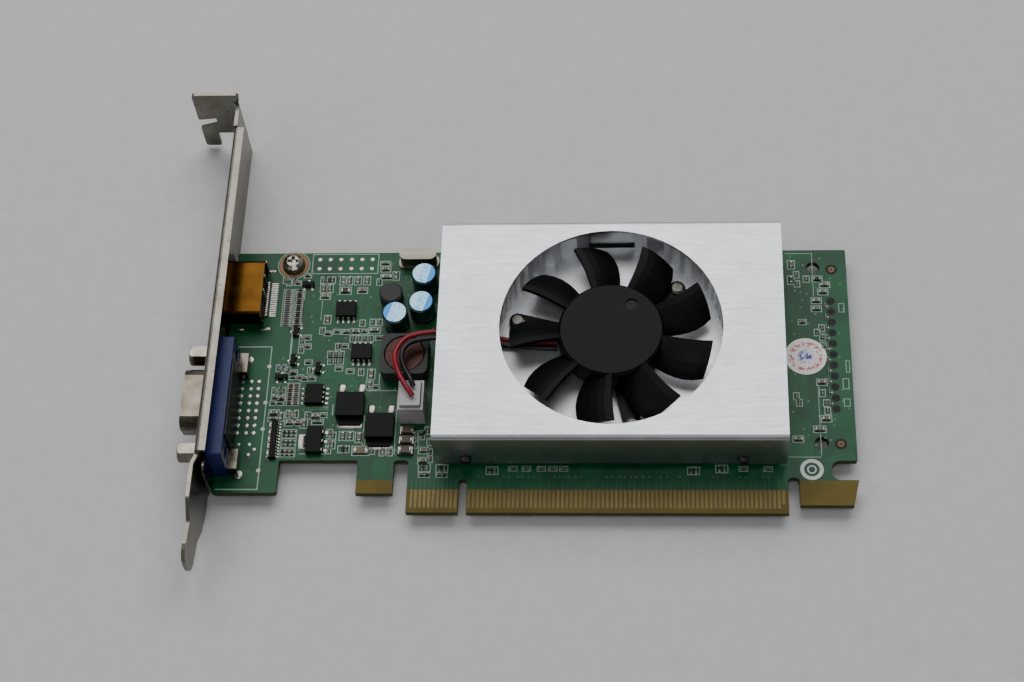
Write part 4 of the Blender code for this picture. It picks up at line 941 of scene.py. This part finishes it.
# Single chip parts: x, y, length, width, turn and kind, which is t for tan, d for dark or g for grey
PARTS = (
    (-35.8, 61.2, 1.0, 0.5, 90, "g"), (-34.9, 61.2, 1.0, 0.5, 90, "g"), (-33.6, 61.2, 1.0, 0.5, 90, "t"),
    (-31.0, 61.0, 1.6, 0.8, 90, "g"), (-29.6, 61.0, 1.6, 0.8, 90, "g"), (-27.5, 61.0, 1.6, 0.8, 90, "g"),
    (-25.3, 61.0, 1.6, 0.8, 90, "g"), (-30.3, 58.2, 2.0, 1.25, 0, "d"), (-26.2, 58.2, 1.6, 0.8, 0, "t"),
    (-35.6, 58.9, 1.6, 0.8, 90, "t"), (-34.1, 58.9, 1.6, 0.8, 90, "g"), (-35.0, 56.6, 1.6, 0.8, 0, "t"),
    (-34.0, 50.2, 1.6, 0.8, 90, "t"), (-44.9, 61.2, 1.0, 0.5, 90, "g"), (-44.0, 60.6, 1.0, 0.5, 90, "d"),
    (-42.9, 60.9, 1.0, 0.5, 90, "t"), (-42.0, 60.4, 1.0, 0.5, 0, "t"), (-39.7, 62.5, 1.0, 0.5, 0, "t"),
    (-44.4, 37.1, 1.0, 0.5, 90, "g"), (-43.4, 37.1, 1.0, 0.5, 90, "d"), (-42.3, 36.5, 1.0, 0.5, 90, "g"),
    (-40.9, 35.9, 1.0, 0.5, 0, "t"), (-40.9, 34.6, 1.0, 0.5, 0, "t"), (-39.3, 34.6, 1.0, 0.5, 0, "t"),
    (-38.1, 34.2, 1.0, 0.5, 0, "t"), (-37.6, 38.6, 1.0, 0.5, 0, "g"), (-37.0, 36.4, 1.0, 0.5, 90, "g"),
    (-36.4, 34.3, 1.0, 0.5, 0, "g"), (-44.9, 31.0, 1.0, 0.5, 90, "g"), (-43.9, 31.0, 1.0, 0.5, 90, "t"),
    (-43.0, 31.0, 1.0, 0.5, 90, "g"), (-44.6, 29.2, 1.0, 0.5, 0, "g"), (-43.1, 29.1, 1.0, 0.5, 0, "t"),
    (-44.9, 27.8, 0.8, 0.5, 0, "g"), (-43.4, 27.8, 1.0, 0.5, 0, "g"), (-44.5, 25.2, 1.6, 0.8, 0, "g"),
    (-42.9, 24.2, 1.6, 0.8, 90, "g"), (-44.6, 23.7, 1.6, 0.6, 0, "g"), (-40.9, 24.9, 1.2, 0.8, 90, "t"),
    (-39.6, 24.9, 1.2, 0.8, 90, "t"), (-38.6, 22.6, 1.6, 0.8, 0, "t"), (-37.3, 22.4, 1.6, 0.8, 90, "t"),
    (-40.6, 22.6, 1.6, 0.8, 0, "t"), (-36.6, 24.6, 1.0, 0.5, 90, "g"), (-34.8, 24.3, 1.6, 0.8, 0, "g"),
    (-33.0, 24.6, 1.0, 0.5, 0, "g"), (-34.2, 22.8, 1.9, 0.5, 0, "g"), (-31.2, 20.0, 1.0, 0.5, 90, "g"),
    (-31.2, 17.6, 1.0, 0.5, 90, "g"), (-31.2, 15.6, 1.0, 0.5, 90, "g"), (-30.3, 19.2, 1.2, 0.5, 90, "g"),
    (-30.3, 16.9, 1.2, 0.5, 90, "g"), (-28.1, 19.2, 1.6, 0.8, 90, "g"), (-26.4, 19.2, 1.6, 0.8, 90, "g"),
    (-24.3, 18.8, 1.9, 0.9, 90, "g"), (-28.3, 15.8, 1.0, 0.5, 90, "d"), (-27.0, 15.8, 1.0, 0.5, 90, "d"),
    (-23.7, 15.4, 3.2, 1.6, 0, "t"), (-21.1, 15.4, 1.0, 0.5, 90, "g"), (-18.6, 15.3, 1.6, 0.8, 90, "g"),
    (-17.2, 15.3, 1.6, 0.8, 90, "g"), (-22.6, 35.4, 1.9, 1.0, 90, "t"), (-22.8, 32.4, 1.6, 0.8, 90, "g"),
    (-21.3, 32.0, 1.0, 0.5, 0, "g"), (-27.6, 36.2, 1.0, 0.5, 0, "g"), (-25.0, 35.9, 1.0, 0.5, 90, "g"),
    (-30.0, 38.9, 1.0, 0.5, 90, "t"), (-31.2, 38.9, 1.0, 0.5, 90, "g"), (-32.4, 38.9, 1.0, 0.5, 90, "g"),
    (-30.0, 40.7, 1.0, 0.5, 90, "g"), (-31.2, 40.7, 1.0, 0.5, 90, "t"), (-32.6, 40.7, 1.0, 0.5, 90, "g"),
    (-29.4, 43.0, 1.0, 0.5, 0, "g"), (-30.9, 42.8, 1.0, 0.5, 90, "t"), (-30.3, 36.9, 1.0, 0.5, 0, "g"),
    (-31.5, 46.9, 1.0, 0.5, 0, "g"), (-29.2, 46.8, 1.4, 0.6, 0, "g"), (-27.0, 46.9, 1.6, 0.8, 0, "g"),
    (-25.0, 46.9, 1.0, 0.5, 0, "t"), (-22.6, 47.2, 1.9, 0.8, 0, "g"), (-23.2, 49.4, 1.0, 0.5, 90, "g"),
    (-21.6, 49.4, 1.0, 0.5, 90, "g"), (-25.6, 49.2, 1.0, 0.5, 90, "g"), (-21.2, 65.8, 1.6, 0.5, 0, "g"),
    (-21.0, 64.2, 1.6, 0.8, 0, "t"), (-20.6, 62.0, 2.2, 0.8, 0, "g"), (-18.4, 62.3, 1.6, 0.8, 90, "g"),
    (-22.3, 60.6, 1.0, 0.5, 90, "g"), (-21.4, 45.2, 1.0, 0.5, 0, "g"), (-23.4, 45.0, 1.0, 0.5, 90, "t"),
    (-24.8, 45.0, 1.0, 0.5, 90, "g"), (-26.2, 45.0, 1.0, 0.5, 90, "g"), (-27.6, 45.0, 1.0, 0.5, 90, "g"),
    (-35.0, 47.1, 1.0, 0.5, 90, "g"), (-33.6, 46.4, 1.0, 0.5, 0, "g"), (-38.4, 45.3, 1.0, 0.6, 0, "g"),
    (-38.2, 42.9, 1.0, 0.6, 0, "g"), (-39.6, 44.5, 1.4, 0.5, 90, "g"), (-39.6, 42.0, 1.0, 0.5, 90, "g"),
    (-10.1, 19.4, 1.6, 0.8, 90, "d"), (-8.6, 20.6, 1.2, 0.6, 90, "g"), (-9.3, 15.5, 1.6, 0.9, 0, "g"),
    (-9.3, 12.9, 1.6, 0.9, 0, "g"), (-8.0, 17.7, 1.0, 0.5, 90, "g"), (-7.9, 15.0, 1.0, 0.5, 90, "d"),
    (-11.3, 17.0, 1.0, 0.5, 90, "g"), (-11.3, 19.4, 1.0, 0.5, 90, "g"), (-7.8, 13.4, 1.0, 0.5, 90, "g"),
    (75.4, 64.8, 1.6, 0.8, 90, "g"), (76.5, 62.0, 1.0, 0.5, 90, "g"), (75.2, 60.5, 1.6, 0.8, 90, "d"),
    (76.6, 59.5, 1.0, 0.5, 90, "g"), (81.3, 60.8, 1.6, 0.9, 0, "d"), (78.8, 60.8, 1.0, 0.6, 90, "g"),
    (83.0, 59.2, 1.6, 0.8, 0, "g"), (82.5, 57.2, 1.6, 0.8, 0, "g"), (80.9, 54.8, 1.6, 0.8, 0, "g"),
    (80.8, 52.6, 1.6, 0.8, 0, "g"), (77.4, 49.0, 1.1, 0.6, 0, "g"), (81.8, 47.4, 1.0, 0.5, 90, "g"),
    (80.7, 46.2, 1.0, 0.5, 90, "d"), (81.9, 44.9, 1.0, 0.5, 90, "g"), (82.0, 42.6, 1.0, 0.5, 90, "g"),
    (81.2, 33.0, 1.6, 0.8, 0, "t"), (81.2, 30.2, 1.0, 0.5, 90, "g"), (82.0, 27.6, 1.0, 0.5, 90, "g"),
    (82.2, 25.6, 1.0, 0.5, 90, "g"), (81.8, 23.6, 1.6, 0.9, 0, "t"), (80.2, 20.9, 2.0, 0.9, 0, "g"),
    (75.3, 29.4, 1.0, 0.5, 90, "t"), (75.9, 27.7, 1.0, 0.5, 90, "t"), (75.3, 18.4, 1.6, 0.8, 0, "t"),
)
for number in range(10):
    passive(82.85, 27.53 + number * OPEN_PAD_PITCH, 1.0, 0.4, 90, "g")
    joint(83.35, 27.5 + number * OPEN_PAD_PITCH, 0.22, 0.1, False)
for part in PARTS:
    passive(*part)
    x, y, length, width, turn = part[:5]
    wide, deep = (width, length) if turn else (length, width)
    outline(x, y, wide + 0.8, deep + 0.8, 0.2)
for x, y in ((-8.9, 11.1), (-4.9, 11.0), (6.5, 10.4), (51.7, 10.4), (58.0, 10.9)):
    passive(x - 0.5, y, 1.0, 0.5, 90, "d")
    passive(x + 0.6, y, 1.0, 0.5, 90, "g")
    outline(x, y, 2.7, 1.9, 0.2)
for x, y in ((-8.9, 9.3), (-4.9, 9.3)):
    passive(x - 0.5, y, 0.9, 0.4, 0, "g")
    passive(x + 0.7, y, 0.9, 0.4, 0, "d")
    outline(x, y, 2.6, 1.2, 0.18)
for x in (11.2, 14.2, 17.6, 20.2, 22.6, 62.8, 68.3):
    passive(x, 10.9, 1.0, 0.5, 0, "t")
    outline(x, 10.9, 1.9, 1.2, 0.16)

# Vias
for x in (
    3.5, 4.6, 9.2, 10.3, 12.3, 13.3, 14.8, 16.0, 17.0, 20.7, 21.8, 22.9, 23.9, 25.3, 26.5, 32.2, 33.4,
    35.3, 36.4, 37.8, 39.0, 40.4, 41.8, 44.3, 45.8, 48.6, 49.8, 56.0, 57.0, 62.0, 63.3, 67.0, 68.2,
):
    via(x, 8.9, 0.26)
VIA_CLEARANCE = 1.3
taken = [part[:2] for part in PARTS]
for number in range(230):
    x = chance.choice((chance.uniform(-45, -7.5), chance.uniform(-45, -7.5), chance.uniform(73.5, 87)))
    y = chance.uniform(15, 67.5)
    if all(math.hypot(x - a, y - b) > VIA_CLEARANCE for a, b in taken):
        via(x, y, 0.25)
        taken.append((x, y))

# Copper lines that show through the mask
for number in range(70):
    x = 1.5 + number
    if number % 3 != 2:
        traces.line((x, 5.9), (x, 8.2 + (number * 7) % 5 * 0.55), 0.2, 0.001, COPPER_TOP)
for number in range(11):
    traces.line((-1.5 - number, 5.9), (-1.5 - number, 8.3), 0.22, 0.001, COPPER_TOP)
for number in range(90):
    x = chance.uniform(-40, -12)
    y = chance.uniform(16, 64)
    length = chance.uniform(1.5, 6.0)
    if number % 2:
        traces.line((x, y), (x + length, y), 0.17, 0.001, COPPER_TOP)
    else:
        traces.line((x, y), (x, min(y + length, 68)), 0.17, 0.001, COPPER_TOP)
for number in range(12):
    y = 30 + number * 0.45
    traces.line((-46.2, y), (-42.5, y), 0.15, 0.001, COPPER_TOP)
for number in range(8):
    x = 74.2 + number * 0.5
    traces.line((x, 35.0), (x, 31.0 - number * 0.3), 0.16, 0.001, COPPER_TOP)

# Seal, ring mark and the dots on the printed line beside the analogue connector
SEAL = (77.8, 39.8)
RING_MARK = (78.0, 10.8)
label = Heap()
label.round(*SEAL, ((0.03, 4.8), (0.11, 4.8)), 64)
label.make("paper_seal", label_finish(SEAL))
mark = Heap()
mark.annulus(*RING_MARK, 1.75, 2.6, SKIN, 0.04, 48)
mark.annulus(*RING_MARK, 0.75, 1.05, SKIN, 0.04, 32)
for y in (37.5, 27.9, 21.0, 10.4):
    mark.round(-46.75, y, ((INK_TOP, 0.5), (0.05, 0.5)), 20)
mark.make("ring_mark", finish("mark_ink", tone(196, 200, 196), tone(176, 180, 176), (0.5, 0.6)))

# Painted shade: a near-black disc on the floor of the recess in the fan's hub, darker than the hub's own
# plastic
RECESS_MIDDLE = (37.87, 46.85)
RECESS_FLOOR = 11.7
recess_shade = Heap()
recess_shade.round(*RECESS_MIDDLE, ((RECESS_FLOOR + SKIN, 1.4), (RECESS_FLOOR + 0.04, 1.4)), 32)
recess_shade.make("hub_recess_shade", finish("painted_recess_shade", tone(4, 4, 5), tone(2, 2, 3), (0.5, 0.6)), body="rotor")

# Under the board: parts behind the processor, memory and supplies
for number in range(6):
    silk.frame(8 + number * 9, 34, 13 + number * 9, 46, 0.18, BACK - INK_TOP, BACK - SKIN)


def back_passive(x, y, turn, kind, length=1.6, width=0.8):
    c, s = direction(turn)
    cap = length * 0.22
    bodies[kind].slab(
        x, y, length - 2 * cap, width, ((BACK - 0.6, -0.04), (BACK - 0.56, 0), (BACK - 0.04, 0)), turn
    )
    for side in (-1, 1):
        shift = side * (length - cap) / 2
        solder.slab(
            x + c * shift, y + s * shift, cap, width + 0.04,
            ((BACK - 0.63, -0.06), (BACK - 0.56, 0), (BACK - 0.03, 0)), turn,
        )
        shift = side * (length / 2 + 0.06)
        solder.slab(
            x + c * shift, y + s * shift, 0.22, width * 0.9,
            ((BACK - 0.27, -0.04), (BACK - 0.06, 0.1), (BACK - SKIN, 0.12)), turn,
        )


for column in range(6):
    for row in range(5):
        back_passive(9.2 + column * 9, 35.4 + row * 2.3, 0, "t")
        back_passive(11.8 + column * 9, 35.4 + row * 2.3, 0, "t" if row % 2 else "g")
for number in range(24):
    back_passive(4.0 + number * 2.6, 11.2, 90, "t", 1.0, 0.5)
for number in range(22):
    back_passive(
        -44 + (number % 11) * 3.0, 48.5 + number // 11 * 8.0, 90 if number % 2 else 0, chance.choice("tgd")
    )
HEATSINK_SCREWS = ((6.8, 20), (59.8, 20), (6.8, 60.7), (59.8, 60.7))
for number in range(160):
    x = chance.uniform(-40, 87)
    y = chance.uniform(15, 67)
    if all(math.hypot(x - a, y - b) > 4.2 for a, b in HEATSINK_SCREWS):
        via(x, y, 0.28, BACK - 0.02)

silk.make("printed_outlines", SILK)
solder.make("solder_joints", SOLDER, smooth=50)
metal.make("component_leads", SOLDER, smooth=40)
vias.make("via_rings", VIA)
traces.make("copper_lines", TRACE)
resin.make("small_packages", RESIN, "chip_resin")
bodies["t"].make("chip_capacitors", TAN)
bodies["d"].make("chip_resistors", DARK)
bodies["g"].make("chip_parts_grey", GREY)

# Floor, lights and background
FLOOR_REACH = 3.0
FLOOR_GAP = 0.0002
floor_mesh = bpy.data.meshes.new("floor")
corners = [
    (x * FLOOR_REACH, y * FLOOR_REACH, cad_low.z - FLOOR_GAP)
    for x, y in ((-1, -1), (1, -1), (1, 1), (-1, 1))
]
floor_mesh.from_pydata(corners, [], [(0, 1, 2, 3)])
floor_mesh.materials.append(
    finish("floor_sheet", tone(196, 196, 196), tone(188, 188, 188), (0.6, 0.75), 0.0, 4.0, 0.8, 30.0)
)
floor = bpy.data.objects.new("floor", floor_mesh)
scene.collection.objects.link(floor)


def soft_light(name, place, size, power):
    data = bpy.data.lights.new(name, "AREA")
    data.shape = "RECTANGLE"
    data.size, data.size_y = size
    data.energy = power
    obj = bpy.data.objects.new(name, data)
    obj.location = place
    obj.rotation_euler = (-Vector(place)).to_track_quat("-Z", "Y").to_euler()
    scene.collection.objects.link(obj)


soft_light("light_above", (0.0, 0.62, 0.95), (1.3, 0.9), 12.0)
soft_light("light_left", (-0.9, -0.35, 0.8), (0.7, 0.7), 2.0)
soft_light("light_front", (0.35, -0.9, 0.75), (0.8, 0.5), 0.7)
soft_light("light_glint", (0.0, -0.45, 1.0), (0.3, 0.3), 1.6)
world = bpy.data.worlds.new("studio") if scene.world is None else scene.world
scene.world = world
world.use_nodes = True
background = world.node_tree.nodes["Background"]
background.inputs["Color"].default_value = (0.95, 0.97, 1.0, 1.0)
background.inputs["Strength"].default_value = 0.16
